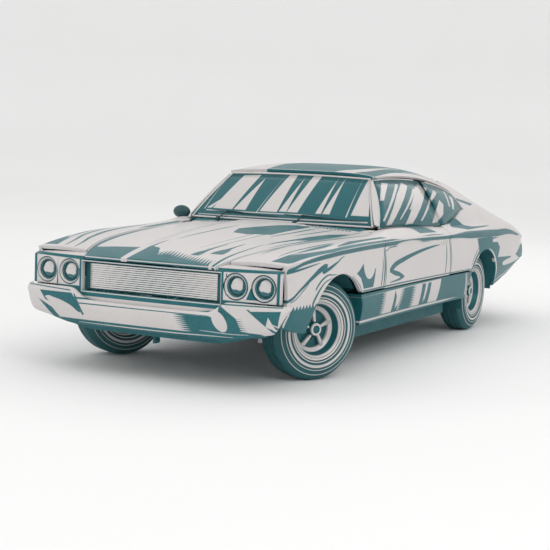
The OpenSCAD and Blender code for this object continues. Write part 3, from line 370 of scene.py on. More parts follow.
def rocker_paint():
    """The sill's painted reflections as a row of dark blocks with toothed ends, and its bright strip."""
    f = enamel("rocker_paint")
    x, z = f.axes("XZ")
    side = f.plane(x, z)
    low, high = 0.346, 0.508
    toothed = f.plane(x + f.teeth(z, 0.0125, 0.085), z)
    # Painted reflections: dark blocks, some with toothed ends, a dark field towards the rear arch, and dark
    # bands along the sill's top and foot
    blocks = [
        f.patch(toothed, (1.45, low), (1.45, high), (0.985, high), (0.985, low)),
        f.patch(toothed, (0.675, low), (0.625, high), (0.400, high), (0.405, low)),
        f.patch(side, (0.757, low), (0.690, low), (0.700, high - 0.05), (0.742, high)),
        f.patch(side, (0.720, low), (0.640, low), (0.655, low + 0.05)),
        f.patch(side, (0.200, low), (0.135, low), (0.125, high), (0.200, high)),
        f.patch(side, (0.105, low), (0.016, low), (0.012, high), (0.078, high)),
        f.patch(side, (0.140, low), (0.100, low), (0.116, low + 0.05)),
        f.patch(side, (-0.170, 0.30), (-1.0, 0.30), (-1.0, 0.54), (-0.195, 0.54)),
        f.patch(side, (1.50, 0.54), (1.50, 0.507), (0.30, 0.515), (-0.30, 0.521), (-0.30, 0.54)),
        f.patch(side, (1.50, 0.352), (1.50, 0.342), (-0.25, 0.342), (-0.25, 0.347)),
        f.patch(side, (1.50, 0.330), (1.50, 0.300), (-1.0, 0.300), (-1.0, 0.330)),
    ]
    sill_strip = f.patch(side, (1.31, 0.341), (1.31, 0.326), (-0.35, 0.326), (-0.64, 0.336), (-0.35, 0.341))
    # Painted highlights along the lip ahead of the rear arch
    lip = joined([f.stroke(z, x, [(0.34, -0.806, 0.006), (0.45, -0.775, 0.012), (0.53, -0.745, 0.004)]),
                  f.stroke(z, x, [(0.34, -0.826, 0.002), (0.45, -0.812, 0.004), (0.53, -0.78, 0.002)])])
    return enamel_with_painted_shade_and_lines(f, joined(blocks) & -sill_strip & -lip)


def hood_paint():
    """The hood's painted reflections as bands and swooshes, and the lines along its ridge."""
    f = enamel("hood_paint")
    x, y, z = f.axes()
    top = f.plane(x, y)
    rim_line = 0.0035 - abs(abs(y) - f.line(x, HOOD_EDGE) + 0.008)
    front_glint = 0.004 - abs(z - 0.752)
    ridge = abs(y) - f.line(x, HOOD_RIDGE)
    shapes = [
        # Painted reflections as deep bands over the front edge, parted by the pale ridge
        f.patch(top, (2.27, -0.225), (2.80, -0.185), (2.80, -0.56), (2.36, -0.545), (2.31, -0.40)),
        f.patch(f.plane(x + f.teeth(y - x * 0.12, 0.024, 0.10), y),
                (2.36, -0.155), (2.42, 0.06), (2.35, 0.20), (2.28, 0.36), (2.30, 0.43), (2.80, 0.42),
                (2.80, -0.165)),
        f.patch(top, (2.26, -0.155), (2.30, -0.06), (2.46, 0.02), (2.80, 0.02), (2.80, -0.165)),
        f.stroke(x, y, [(1.92, 0.355, 0.001), (2.10, 0.352, 0.012), (2.30, 0.350, 0.045)]),
        f.stroke(x, y, [(1.98, 0.262, 0.001), (2.20, 0.240, 0.012), (2.36, 0.230, 0.030)]),
        f.stroke(x, y, [(2.06, -0.142, 0.001), (2.20, -0.140, 0.010), (2.34, -0.140, 0.012)]),
        # Painted reflection as a slanted patch ahead of the cowl
        f.patch(top, (0.90, 0.345), (1.50, 0.318), (1.645, 0.205), (1.62, 0.085), (1.32, -0.01),
                (1.12, 0.17), (0.90, 0.272)),
        f.stroke(x, y, [(1.25, -0.060, 0.001), (1.60, -0.085, 0.010), (2.02, -0.112, 0.002)]),
        # Painted reflections as swooshes beside the left edge
        f.patch(top, (1.02, 0.695), (1.18, 0.600), (1.45, 0.545), (1.62, 0.565), (1.52, 0.655),
                (1.25, 0.688)),
        f.stroke(x, y, [(1.40, 0.575, 0.020), (1.62, 0.540, 0.020), (1.90, 0.490, 0.002)]),
        f.stroke(x, y, [(1.50, 0.640, 0.012), (1.66, 0.620, 0.012), (2.00, 0.570, 0.002)]),
        f.stroke(x, y, [(0.93, 0.520, 0.001), (1.15, 0.500, 0.010), (1.45, 0.462, 0.002)]),
        f.stroke(x, y, [(0.93, 0.400, 0.001), (1.30, 0.385, 0.012), (1.60, 0.352, 0.001)]),
        f.stroke(x, y, [(1.30, -0.655, 0.001), (1.90, -0.600, 0.016), (2.30, -0.545, 0.022),
                        (2.5, -0.50, 0.022)]),
        f.stroke(x, y, [(1.88, 0.474, 0.001), (2.15, 0.468, 0.008), (2.52, 0.455, 0.010)]),
        rim_line,
        f.stroke(x, ridge, [(0.92, 0.026, 0.005), (1.53, 0.026, 0.004), (2.20, 0.024, 0.001)]),
        f.stroke(x, ridge, [(0.92, -0.026, 0.004), (1.53, -0.024, 0.003), (2.20, -0.022, 0.001)]),
    ]
    return enamel_with_painted_shade_and_lines(f, joined(shapes) & -front_glint)


def fender_top(f, x, y):
    """Painted reflection strokes on the fenders' crowns, which the side's own pattern doesn't reach."""
    return joined([
        f.stroke(x, y, [(0.98, 0.840, 0.001), (1.30, 0.790, 0.010), (1.60, 0.735, 0.016),
                        (1.90, 0.680, 0.001)]),
        f.stroke(x, y, [(1.20, 0.745, 0.001), (1.45, 0.715, 0.012), (1.80, 0.650, 0.016),
                        (2.25, 0.640, 0.001)]),
        f.stroke(x, y, [(1.66, 0.850, 0.001), (1.90, 0.832, 0.010), (2.30, 0.780, 0.001)]),
        f.stroke(x, -y, [(0.98, 0.740, 0.012), (1.25, 0.728, 0.018), (1.55, 0.710, 0.003)]),
        f.stroke(x, -y, [(1.30, 0.790, 0.001), (1.75, 0.765, 0.014), (2.15, 0.700, 0.012),
                         (2.42, 0.640, 0.002)]),
        f.stroke(x, -y, [(1.70, 0.835, 0.001), (2.05, 0.800, 0.012), (2.40, 0.725, 0.004)]),
        0.0035 - abs(abs(y) - f.line(x, HOOD_EDGE) - 0.016),
    ])


def roof_paint():
    """A broad painted shade over the roof's front and left, with a pale streak of painted reflection in it.
    """
    f = enamel("roof_paint")
    x, y = f.axes("XY")
    top = f.plane(x, y)
    shade = f.patch(top, (0.47, 0.60), (0.47, -0.28), (0.10, -0.30), (-0.30, -0.05), (-0.62, 0.30),
                    (-0.70, 0.57))
    gutter = f.stroke(x, abs(y), [(-1.00, 0.610, 0.003), (-0.4, 0.600, 0.006), (0.42, 0.575, 0.005)])
    streak = f.stroke(x, y, [(-0.30, 0.500, 0.001), (0.05, 0.480, 0.022), (0.25, 0.440, 0.050),
                             (0.45, 0.360, 0.075)])
    front_line = f.patch(top, (0.452, 0.7), (0.452, -0.7), (0.440, -0.7), (0.440, 0.7))
    return enamel_with_painted_shade_and_lines(f, (shade & -(streak | front_line)) | gutter)


def pale_paint():
    """Plain pale enamel with a fine dark line inside the lid's edge."""
    f = enamel("pale_paint")
    x, y = f.axes("XY")
    low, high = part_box("trunk_lid")
    inset = f.patch(f.plane(x, y), (low.x + 0.03, low.y + 0.07), (high.x - 0.02, low.y + 0.03),
                    (high.x - 0.02, high.y - 0.03), (low.x + 0.03, high.y - 0.07))
    return enamel_with_painted_shade_and_lines(f, 0.0035 - abs(inset))


def pillar_paint():
    """A dark line up the left pillar and painted shade on the right one's inner face, along the pillars'
    lean.
    """
    f = enamel("pillar_paint")
    y, z = f.axes("YZ")
    lean = abs(y) + z * 0.53
    outer = 1.262
    left_line = (0.004 - abs(lean - outer)) & y
    right_shade = -(y + 0.5) & (outer - lean) & (lean - 1.0)
    return enamel_with_painted_shade_and_lines(f, left_line | right_shade)


def cowl_paint():
    """A well in painted shade, with a row of dark vent slots."""
    f = enamel("cowl_paint")
    x, y = f.axes("XY")
    vents = f.patch(f.plane(x, abs(y)), (0.872, -0.9), (0.856, -0.9), (0.856, 0.62), (0.872, 0.62))
    well_shade = f.patch(f.plane(x, abs(y)), (0.85, -0.9), (0.70, -0.9), (0.70, 0.9), (0.85, 0.72))
    return enamel_with_painted_shade_and_lines(f, (vents & (f.teeth(y, 0.030, 0.015) - 0.004)) | well_shade)


def nose_paint():
    """Dark joints round the lamp boxes and the grille's opening, and painted shade below the lamps and in a
    triangle between them.
    """
    f = enamel("nose_paint")
    y, z = f.axes("YZ")
    face = f.plane(abs(y), z)
    shapes = [
        f.patch(face, (0.48, 0.752), (0.48, 0.728), (0.95, 0.742), (0.95, 0.756)),
        f.patch(face, (0.900, 0.75), (0.880, 0.75), (0.880, 0.55), (0.900, 0.55)),
        f.patch(face, (0.40, 0.735), (0.528, 0.735), (0.528, 0.54), (0.40, 0.50)),
        f.patch(face, (0.50, 0.560), (0.95, 0.556), (0.95, 0.40), (0.50, 0.40)),
        f.patch(face, (-0.1, 0.736), (0.52, 0.736), (0.52, 0.50), (-0.1, 0.50)),
        f.patch(f.plane(y, z), (0.682, 0.572), (0.716, 0.655), (0.762, 0.572)),
        f.patch(f.plane(y, z), (-0.706, 0.72), (-0.712, 0.56), (-0.700, 0.56)),
        f.patch(f.plane(y, z), (0.552, 0.72), (0.545, 0.72), (0.545, 0.60)),
    ]
    rim = f.patch(face, (0.530, 0.724), (0.538, 0.724), (0.538, 0.570), (0.530, 0.570))
    frame_line = 0.003 - abs(f.patch(face, (-0.9, 0.728), (0.514, 0.728), (0.514, 0.524),
                                     (-0.9, 0.524)) - 0.004)
    return enamel_with_painted_shade_and_lines(f, joined(shapes) & -rim & -frame_line)


def bumper_paint():
    """Brightwork with painted dark reflections, painted shade in its pockets and painted pale glints."""
    f = Finish("bumper_paint", coat_weight=0.12, coat_roughness=0.1, specular_ior_level=0.35)
    y, z = f.axes("YZ")
    face = f.plane(y, z)
    toothed = f.plane(y - f.teeth(z, 0.0125, 0.085), z)
    away = f.node("ShaderNodeCombineXYZ", inputs=(
        (y - 0.530) * 20.0 + (z - 0.432) * 13.0, (z - 0.432) * 13.0 - (y - 0.530) * 6.0, 0.0))
    oval = (1 - f.node("ShaderNodeVectorMath", {"operation": "LENGTH"}, (away,), "Value")) * 0.05
    dark = [
        # Shade on the middle, with a toothed end
        f.patch(toothed, (0.265, 0.345), (0.195, 0.456), (0.60, 0.456), (0.66, 0.345)),
        f.patch(face, (0.520, 0.53), (0.605, 0.535), (0.640, 0.46), (0.77, 0.378), (0.70, 0.34),
                (0.52, 0.34)),
        f.patch(face, (0.62, 0.400), (0.69, 0.415), (0.80, 0.377), (0.88, 0.374), (0.88, 0.30),
                (0.62, 0.30)),
        f.patch(face, (-0.65, 0.352), (0.75, 0.352), (0.75, 0.30), (-0.65, 0.30)),
        f.patch(face, (-0.50, 0.451), (0.46, 0.456), (0.46, 0.461), (-0.50, 0.459)),
        f.patch(face, (-0.56, 0.480), (0.44, 0.480), (0.47, 0.490), (-0.58, 0.492)),
        f.patch(face, (-0.50, 0.508), (0.50, 0.508), (0.50, 0.56), (-0.50, 0.56)),
        # Painted shade in the left lamp pocket
        f.patch(face, (0.735, 0.510), (0.925, 0.524), (0.905, 0.410), (0.82, 0.445)),
        f.patch(face, (0.705, 0.520), (0.722, 0.520), (0.915, 0.388), (0.905, 0.376)),
        f.patch(face, (0.54, 0.542), (0.93, 0.549), (0.93, 0.542), (0.54, 0.534)),
        # Painted shade in the right lamp pocket and round its end
        f.patch(face, (-0.56, 0.515), (-0.82, 0.514), (-0.77, 0.452), (-0.66, 0.430), (-0.48, 0.39),
                (-0.50, 0.45)),
        f.patch(face, (-0.90, 0.520), (-0.84, 0.520), (-0.72, 0.410), (-0.60, 0.358), (-0.60, 0.33),
                (-0.70, 0.34)),
        f.patch(face, (-0.545, 0.510), (-0.535, 0.512), (-0.455, 0.385), (-0.470, 0.380)),
        f.patch(face, (-0.575, 0.535), (-0.96, 0.549), (-0.96, 0.543), (-0.565, 0.527)),
    ]
    pale = [
        # Painted highlights: a bright oval, the crescent beside the pocket, and pale glints
        oval,
        f.patch(face, (0.835, 0.425), (0.850, 0.485), (0.905, 0.405)),
        f.patch(face, (0.845, 0.455), (0.918, 0.422), (0.922, 0.430)),
        f.stroke(y, z, [(-0.775, 0.474, 0.001), (-0.70, 0.448, 0.026), (-0.60, 0.415, 0.034),
                        (-0.51, 0.388, 0.014), (-0.485, 0.385, 0.002)]),
        f.stroke(y, z, [(-0.50, 0.334, 0.001), (0.10, 0.333, 0.0035), (0.62, 0.341, 0.001)]),
        f.stroke(y, z, [(0.40, 0.367, 0.001), (0.62, 0.362, 0.002), (0.72, 0.366, 0.001)]),
    ]
    return enamel_with_painted_shade_and_lines(f, joined(dark) & -joined(pale), coat_rough=0.22)


def lamp_finish():
    """Bezel with rings of painted shade in its gap and groove, and a lens with a painted pale reflection
    above and painted shade below.
    """
    f = Finish("headlamp_lens", coat_weight=0.3, coat_roughness=0.05)
    radius = f.node("ShaderNodeAttribute", {"attribute_name": "radius"}, output="Fac")
    y, z = f.axes("YZ")
    place = f.plane(y, z)
    shade = []
    for lamp in LAMPS:
        c = (lamp.y, lamp.z)
        bright = joined([f.disc(place, (c[0] + 0.004, c[1] + 0.016), 0.036),
                         f.disc(place, (c[0] - 0.020, c[1] + 0.000), 0.020),
                         f.disc(place, (c[0] + 0.020, c[1] - 0.004), 0.019)])
        shade.append(f.disc(place, c, 0.058) & -bright)
    # Dark rings of painted shade at the bezel's outer edge and in its inner groove
    rings = (0.0045 - abs(radius - 0.0795)) | (0.004 - abs(radius - 0.0615))
    ribs = f.teeth(y, 0.010, 1.0)
    f.feed("Base Color", f.mix((joined(shade) | rings).edge(0.003), PALE, TEAL))
    f.feed("Roughness", f.noise(30.0) * 0.08 + 0.12)
    f.bump(ribs, 0.2, 0.0015)
    return f.material


def rubber():
    """Teal rubber with pale rings on its side."""
    f = Finish("tyre_rubber")
    radius = f.node("ShaderNodeAttribute", {"attribute_name": "radius"}, output="Fac")
    rings = joined([half - abs(radius - middle) for half, middle in (
        (0.0035, 0.2085), (0.0085, 0.2365), (0.0022, 0.261), (0.0022, 0.2915))])
    scuffs = f.noise(26.0, 4.0, 0.7)
    base = f.mix(scuffs, (0.010, 0.075, 0.085), (0.020, 0.125, 0.140))
    f.feed("Base Color", f.mix(rings.edge(0.002), base, PALE))
    f.feed("Roughness", scuffs * 0.25 + 0.52)
    f.bump(f.noise(240.0, 3.0), 0.25, 0.002)
    return f.material


def alloy():
    """Pale wheel metal with dark rings: painted shade round the rim's dish, two dark lines and a dark hub
    centre.
    """
    f = Finish("rim_metal", metallic=0.25, specular_ior_level=0.3)
    radius = f.node("ShaderNodeAttribute", {"attribute_name": "radius"}, output="Fac")
    rings = joined([half - abs(radius - middle) for half, middle in (
        (0.0085, 0.1585), (0.0018, 0.182), (0.0035, 0.0455), (0.026, 0.0))])
    brushed = f.noise(90.0, 3.0, 0.6)
    light = f.mix(brushed, tuple(c * 0.95 for c in PALE), BRIGHT)
    f.feed("Base Color", f.mix(rings.edge(0.002), light, TEAL))
    f.feed("Roughness", brushed * 0.15 + 0.32)
    f.bump(brushed, 0.05, 0.001)
    return f.material


def plain(name, colour, rough, metallic=0.0, grain=180.0, relief=0.08, spread=0.12, **fixed):
    """One colour with real variation: blotches, fine grain and an uneven sheen."""
    f = Finish(name, metallic=metallic, **fixed)
    blotch = f.noise(7.0, 4.0, 0.6)
    f.feed("Base Color", f.mix(blotch, tuple(c * (1 - spread) for c in colour),
                               tuple(min(c * (1 + spread), 1) for c in colour)))
    f.feed("Roughness", f.noise(grain / 4, 3.0, 0.6) * 0.2 + (rough - 0.1))
    f.bump(f.noise(grain, 3.0, 0.6), relief, 0.002)
    return f.material


def tinted_glass(name, across, bands):
    """Teal glass with pale slanted reflections; bands lists their corners, across and up."""
    f = Finish(name, coat_weight=0.15, coat_roughness=0.08, specular_ior_level=0.3)
    face = f.plane(*f.axes(across + "Z"))
    mask = joined([f.patch(face, *corners) for corners in bands]).edge(0.004)
    tint = f.mix(f.noise(5.0, 2.0), tuple(c * 0.9 for c in TEAL), tuple(c * 1.15 for c in TEAL))
    f.feed("Base Color", f.mix(mask, tint, PALE))
    f.feed("Roughness", f.noise(12.0) * 0.06 + 0.2)
    f.feed("Alpha", mask * 0.06 + 0.92)
    return f.material


# ---------------------------------------------------------------- meshes
def piece(name, bm, body, slot, *finishes, smooth=40):
    """A finished piece: its mesh, finishes and body; slot is not used."""
    mesh = bpy.data.meshes.new(name)
    bm.to_mesh(mesh)
    bm.free()
    for finish in finishes:
        mesh.materials.append(finish)
    mesh.shade_smooth()
    mesh.set_sharp_from_angle(angle=radians(smooth))
    made = bpy.data.objects.new(name, mesh)
    bpy.context.scene.collection.objects.link(made)
    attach(made, body)
    return made


def merged(*names):
    """The named nodes' meshes in one, with their shared corners joined."""
    bm = bmesh.new()
    for name in names:
        bm.from_mesh(nodes[name].data)
    bmesh.ops.remove_doubles(bm, verts=bm.verts, dist=2e-5)
    return bm


def stamped(node, body, slot, finish, edge=0.003, rounds=1):
    """A node's panel with its folds rounded and its surface faired."""
    fold = radians(38)
    bm = merged(node)
    bmesh.ops.join_triangles(bm, faces=bm.faces, angle_face_threshold=radians(14),
                             angle_shape_threshold=radians(70))
    folds = [e for e in bm.edges if len(e.link_faces) == 2 and e.calc_face_angle(0) > fold]
    bmesh.ops.bevel(bm, geom=folds, offset=edge, offset_type="OFFSET", segments=2, profile=0.5,
                    affect="EDGES", material=-1, clamp_overlap=True)
    made = piece(node + "_panel", bm, body, slot, finish, smooth=50)
    if rounds:
        fair = made.modifiers.new("fair", "SUBSURF")
        fair.levels = fair.render_levels = rounds
    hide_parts(node)


def spin(bm, profile, steps=48, closed=True):
    """Turns a profile of (radius, height) points round Z."""
    verts = [bm.verts.new((r, 0, h)) for r, h in profile]
    loop = list(zip(verts, verts[1:] + verts[:1])) if closed else list(zip(verts, verts[1:]))
    edges = [bm.edges.new(pair) for pair in loop]
    bmesh.ops.spin(bm, geom=verts + edges, cent=(0, 0, 0), axis=(0, 0, 1), angle=2 * pi, steps=steps,
                   use_merge=True, use_duplicate=False)
    bmesh.ops.remove_doubles(bm, verts=bm.verts, dist=1e-5)
    bmesh.ops.recalc_face_normals(bm, faces=bm.faces)


def put(bm, matrix):
    bmesh.ops.transform(bm, matrix=matrix, verts=bm.verts)
    bmesh.ops.recalc_face_normals(bm, faces=bm.faces)


def grown(bm, before):
    return [vert for vert in bm.verts if vert not in before]


def store_radius(verts, layer):
    """Keeps each vertex's distance from the Z axis for the finishes to read."""
    for vert in verts:
        vert[layer] = hypot(vert.co.x, vert.co.y)


def block(bm, low, high, bevel=0.004, segments=2):
    """A box between two corners with rounded edges, added to bm."""
    made = bmesh.ops.create_cube(bm, size=1.0)["verts"]
    low, high = Vector(low), Vector(high)
    bmesh.ops.scale(bm, vec=high - low, verts=made)
    bmesh.ops.translate(bm, vec=(low + high) / 2, verts=made)
    edges = {e for v in made for e in v.link_edges}
    bmesh.ops.bevel(bm, geom=list(edges), offset=bevel, offset_type="OFFSET", segments=segments,
                    profile=0.5, affect="EDGES", material=-1, clamp_overlap=True)


def toward(centre, axis):
    """Places a shape made round Z so that its Z runs along axis from centre."""
    return Matrix.Translation(centre) @ Vector(axis).to_track_quat("Z", "Y").to_matrix().to_4x4()


# ---------------------------------------------------------------- wheels
RIM_R, TYRE_R = 0.195, 0.330
HALF_TYRE = 0.113
SPOKES = 5


def wheel(corner, tread_finish, metal, nuts_and_shade_fill):
    """The tyre, and the rim with its five spokes over a dark disc that stands in for the shade between
    them, turned round the wheel's own axis.
    """
    body = "wheel_" + corner
    spot = JOINTS[body + "_spin"]
    side = 1 if spot["pos_m"][1] > 0 else -1
    place = toward(Vector(spot["pos_m"]), Vector(spot["axis"]) * side)
    bm = bmesh.new()
    w = HALF_TYRE
    half = [(RIM_R, w - 0.022), (RIM_R + 0.004, w - 0.012), (0.203, w - 0.006), (0.2055, w - 0.002),
            (0.2115, w - 0.002), (0.2145, w - 0.006), (0.224, w - 0.004), (0.2285, w + 0.0005),
            (0.2445, w + 0.0005), (0.249, w - 0.003), (0.258, w - 0.003), (0.2595, w - 0.001),
            (0.2625, w - 0.001), (0.266, w - 0.004), (0.282, w - 0.008), (0.290, w - 0.010),
            (0.293, w - 0.010),
            (0.296, w - 0.015), (0.312, w - 0.026), (0.322, w - 0.038), (TYRE_R - 0.002, w - 0.048)]
    tread = []
    for centre in (0.052, 0.018):
        tread += [(TYRE_R, centre + 0.010), (TYRE_R - 0.007, centre + 0.008),
                  (TYRE_R - 0.007, centre + 0.002),
                  (TYRE_R, centre)]
    upper = half + tread
    spin(bm, upper + [(r, -h) for r, h in reversed(upper)], steps=72)
    store_radius(bm.verts, bm.verts.layers.float.new("radius"))
    put(bm, place)
    tyre = piece("tyre_" + corner + "_rubber", bm, body, "tyre", tread_finish, smooth=35)
    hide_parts("tyre_" + corner)

    bm = bmesh.new()
    lip = [(0.196, w - 0.004), (0.199, w - 0.010), (RIM_R, w - 0.020), (RIM_R, -w + 0.026),
           (RIM_R - 0.010, -w + 0.026),
           (RIM_R - 0.010, -0.02), (0.150, 0.012), (0.122, 0.020), (0.126, 0.034), (0.148, 0.044),
           (0.152, 0.050),
           (0.1665, w - 0.024), (0.172, w - 0.014), (0.184, w - 0.008)]
    spin(bm, lip, steps=64)
    hub = [(0.0, 0.078), (0.021, 0.078), (0.024, 0.074), (0.026, 0.080), (0.038, 0.080), (0.043, 0.072),
           (0.046, 0.040), (0.050, 0.030), (0.0, 0.030)]
    spin(bm, hub, steps=40, closed=False)
    for k in range(SPOKES):
        before = set(bm.verts)
        block(bm, (0.036, -0.009, 0.018), (0.140, 0.009, 0.040), bevel=0.004)
        fresh = grown(bm, before)
        for v in fresh:
            along = min(max((v.co.x - 0.036) / 0.114, 0), 1)
            v.co.y *= 0.85 + 1.3 * max(along - 0.62, 0) / 0.38
            v.co.z += 0.026 * (1 - along) ** 1.5
        bmesh.ops.rotate(bm, verts=fresh, cent=(0, 0, 0),
                         matrix=Matrix.Rotation(k * 2 * pi / SPOKES + pi / 2, 3, "Z"))
    # A dark disc behind the spokes that stands in for the shade between them, and five nuts, both in the
    # second finish
    old = set(bm.faces)
    spin(bm, [(0.0, 0.012), (0.152, 0.004), (0.152, 0.012), (0.10, 0.018), (0.0, 0.028)], steps=48,
         closed=False)
    for k in range(SPOKES):
        before = set(bm.verts)
        bmesh.ops.create_cone(bm, segments=6, radius1=0.010, radius2=0.008, depth=0.020, cap_ends=True)
        fresh = grown(bm, before)
        turn = (k + 0.5) * 2 * pi / SPOKES + pi / 2
        bmesh.ops.translate(bm, verts=fresh, vec=(0.058 * cos(turn), 0.058 * sin(turn), 0.034))
    for face in bm.faces:
        if face not in old:
            face.material_index = 1
    store_radius(bm.verts, bm.verts.layers.float.new("radius"))
    put(bm, place)
    rim = piece("rim_" + corner + "_alloy", bm, body, "rim", metal, nuts_and_shade_fill, smooth=35)
    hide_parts("rim_" + corner)


# ---------------------------------------------------------------- nose
def lamps(finish):
    """Four lamps, each a stepped bezel round a domed lens, facing forward."""
    bm = bmesh.new()
    radius = bm.verts.layers.float.new("radius")
    r = LAMP_R
    for lamp in LAMPS:
        before = set(bm.verts)
        spin(bm, [(r - 0.004, -0.034), (r + 0.001, -0.004), (r - 0.001, 0.003), (r - 0.006, 0.005),
                  (r - 0.011, 0.001), (r - 0.014, -0.008), (r - 0.020, -0.006), (r - 0.024, -0.014),
                  (r - 0.024, -0.034)], steps=48)
        spin(bm, [(r - 0.025, -0.028)] + [((r - 0.025) * cos(k * pi / 16),
                                           -0.024 + 0.018 * sin(k * pi / 16))
                                          for k in range(1, 8)] + [(0.0, -0.006)], steps=48, closed=False)
        fresh = grown(bm, before)
        store_radius(fresh, radius)
        bmesh.ops.transform(bm, matrix=toward(lamp, (1, 0, 0)), verts=fresh)
    bmesh.ops.recalc_face_normals(bm, faces=bm.faces)
    made = piece("headlamp_units", bm, "body", "chrome", finish, smooth=35)
    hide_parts("headlamps")


def grille(bars, frame_and_backing_shade):
    """Slim bars that swell towards the ends, in a dark frame with round corners, over a dark plate that
    stands in for the shade behind them.
    """
    low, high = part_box("grille")
    count, ends, rib = 12, 0.468, 0.0047
    base = low.z + 0.008
    pitch = (high.z - low.z - 0.016) / count
    bm = bmesh.new()
    for i in range(count):
        z = base + (i + 0.5) * pitch
        block(bm, (low.x + 0.006, -ends, z - rib), (low.x + 0.013, ends, z + rib), bevel=0.0015)
    long = [edge for edge in bm.edges if edge.calc_length() > ends]
    bmesh.ops.subdivide_edges(bm, edges=long, cuts=7, use_grid_fill=True)
    for vert in bm.verts:
        z = base + (int((vert.co.z - base) / pitch) + 0.5) * pitch
        vert.co.z = z + (vert.co.z - z) * (1 + 0.38 * (abs(vert.co.y) / ends) ** 2)
    surround = bmesh.new()
    sheet = bmesh.ops.create_grid(surround, x_segments=1, y_segments=1, size=0.5)["verts"]
    bmesh.ops.transform(surround, verts=sheet, matrix=Matrix.Translation((high.x, 0, (low.z + high.z) / 2))
                        @ Matrix.Rotation(pi / 2, 4,
                                          "Y") @ Matrix.Diagonal((high.z - low.z, 2 * ends + 0.05, 1, 1)))
    bmesh.ops.bevel(surround, geom=sheet, offset=0.035, offset_type="OFFSET", segments=5, profile=0.5,
                    affect="VERTICES", material=-1, clamp_overlap=True)
    whole = list(surround.faces)
    bmesh.ops.inset_region(surround, faces=whole, thickness=0.014, use_even_offset=True)
    bmesh.ops.delete(surround, geom=[face for face in whole if face.is_valid], context="FACES_ONLY")
    bmesh.ops.solidify(surround, geom=list(surround.faces), thickness=-0.016)
    bmesh.ops.recalc_face_normals(surround, faces=surround.faces)
    # A dark plate behind the bars that stands in for the shade in the opening
    block(surround, (low.x, low.y, low.z), (low.x + 0.008, high.y, high.z), bevel=0.002)
    join(bm, surround, 1)
    made = piece("grille_bars", bm, "body", "chrome", bars, frame_and_backing_shade, smooth=40)
    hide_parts("grille")


def join(bm, other, material=0):
    """Adds another mesh to bm, with its faces in the given material."""
    for face in other.faces:
        face.material_index = material
    scratch = bpy.data.meshes.new("scratch")
    other.to_mesh(scratch)
    other.free()
    bm.from_mesh(scratch)
    bpy.data.meshes.remove(scratch)


# ---------------------------------------------------------------- small pieces
def outline(node, chosen):
    """The edge round the chosen faces of a node, as an ordered closed loop of points."""
    source = merged(node)
    source.verts.index_update()
    faces = {face for face in source.faces if chosen(face.calc_center_median(), face.normal)}
    links = {}
    for face in faces:
        for edge in face.edges:
            if sum(other in faces for other in edge.link_faces) == 1:
                for vert in edge.verts:
                    links.setdefault(vert, []).append(edge.other_vert(vert))
    loop = [min(links, key=lambda vert: vert.index)]
    while len(loop) < len(links) + 1:
        onward = [vert for vert in links[loop[-1]] if len(loop) < 2 or vert is not loop[-2]]
        if onward[0] is loop[0]:
            break
        loop.append(onward[0])
    points = [vert.co.copy() for vert in loop]
    source.free()
    return points


def bead(name, points, radius, body, slot, finish, closed=False, taper=None):
    """A round strip along points, thinned towards its ends where taper gives their share."""
    data = bpy.data.curves.new(name, "CURVE")
    data.dimensions, data.bevel_depth, data.bevel_resolution, data.use_fill_caps = "3D", radius, 3, True
    line = data.splines.new("POLY")
    line.points.add(len(points) - 1)
    for i, (spot, point) in enumerate(zip(points, line.points)):
        point.co = (*spot, 1)
        share = min(i, len(points) - 1 - i) / max(len(points) / 3, 1)
        point.radius = 1 if taper is None else taper + (1 - taper) * min(share, 1)
    line.use_cyclic_u = closed
    holder = bpy.data.objects.new(name, data)
    bpy.context.scene.collection.objects.link(holder)
    bpy.context.view_layer.update()
    bm = bmesh.new()
    solid = holder.evaluated_get(bpy.context.evaluated_depsgraph_get()).to_mesh()
    bm.from_mesh(solid)
    bpy.data.objects.remove(holder)
    bpy.data.curves.remove(data)
    bmesh.ops.remove_doubles(bm, verts=bm.verts, dist=1e-5)
    bmesh.ops.recalc_face_normals(bm, faces=bm.faces)
    piece(name, bm, body, slot, finish, smooth=60)


def caster(*names):
    """Finds where a ray meets the named nodes."""
    bm = merged(*names)
    tree = BVHTree.FromBMesh(bm)
    bm.free()

    def cast(start, aim):
        return tree.ray_cast(Vector(start), Vector(aim))[0]
    return cast


def turned(name, profile, spot, aim, body, slot, finish, steps=48, closed=True):
    """A turned part, standing at spot with its axis along aim."""
    bm = bmesh.new()
    spin(bm, profile, steps, closed)
    put(bm, toward(Vector(spot), aim))
    piece(name, bm, body, slot, finish)


def glass_trims(pale):
    """Bright strips round the panes; the side strips stop where door and quarter glass meet."""
    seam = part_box("door_glass_left")[0].x
    panes = [("windshield_trim", "fixed_glass", "body", 0.008, lambda c, n: c.x > 0.3 and n.x > 0.3, None),
             ("rear_window_trim", "fixed_glass", "body", 0.008,
              lambda c, n: c.x < -1.0 and abs(c.y) < 0.56 and n.z > 0.3, None)]
    for s, side in SIDES:
        panes += [("quarter_window_trim_" + side, "fixed_glass", "body", 0.006,
                   lambda c, n, s=s: c.x < 0.3 and s * c.y > 0.6 and s * n.y > 0.3,
                   lambda p: p.x > seam - 0.02),
                  ("door_window_trim_" + side, "door_glass_" + side, "door_" + side, 0.005,
                   lambda c, n, s=s: s * n.y > 0.3, lambda p: p.x < seam + 0.01)]
    for name, node, body, radius, chosen, left_out in panes:
        points = outline(node, chosen)
        if left_out:
            ahead = zip(points, points[1:] + points[:1])
            start = next(i for i, (p, q) in enumerate(ahead) if left_out(p) and not left_out(q))
            points = [p for p in points[start + 1:] + points[:start + 1] if not left_out(p)]
        bead(name, points, radius, body, "body_paint", pale, closed=left_out is None)


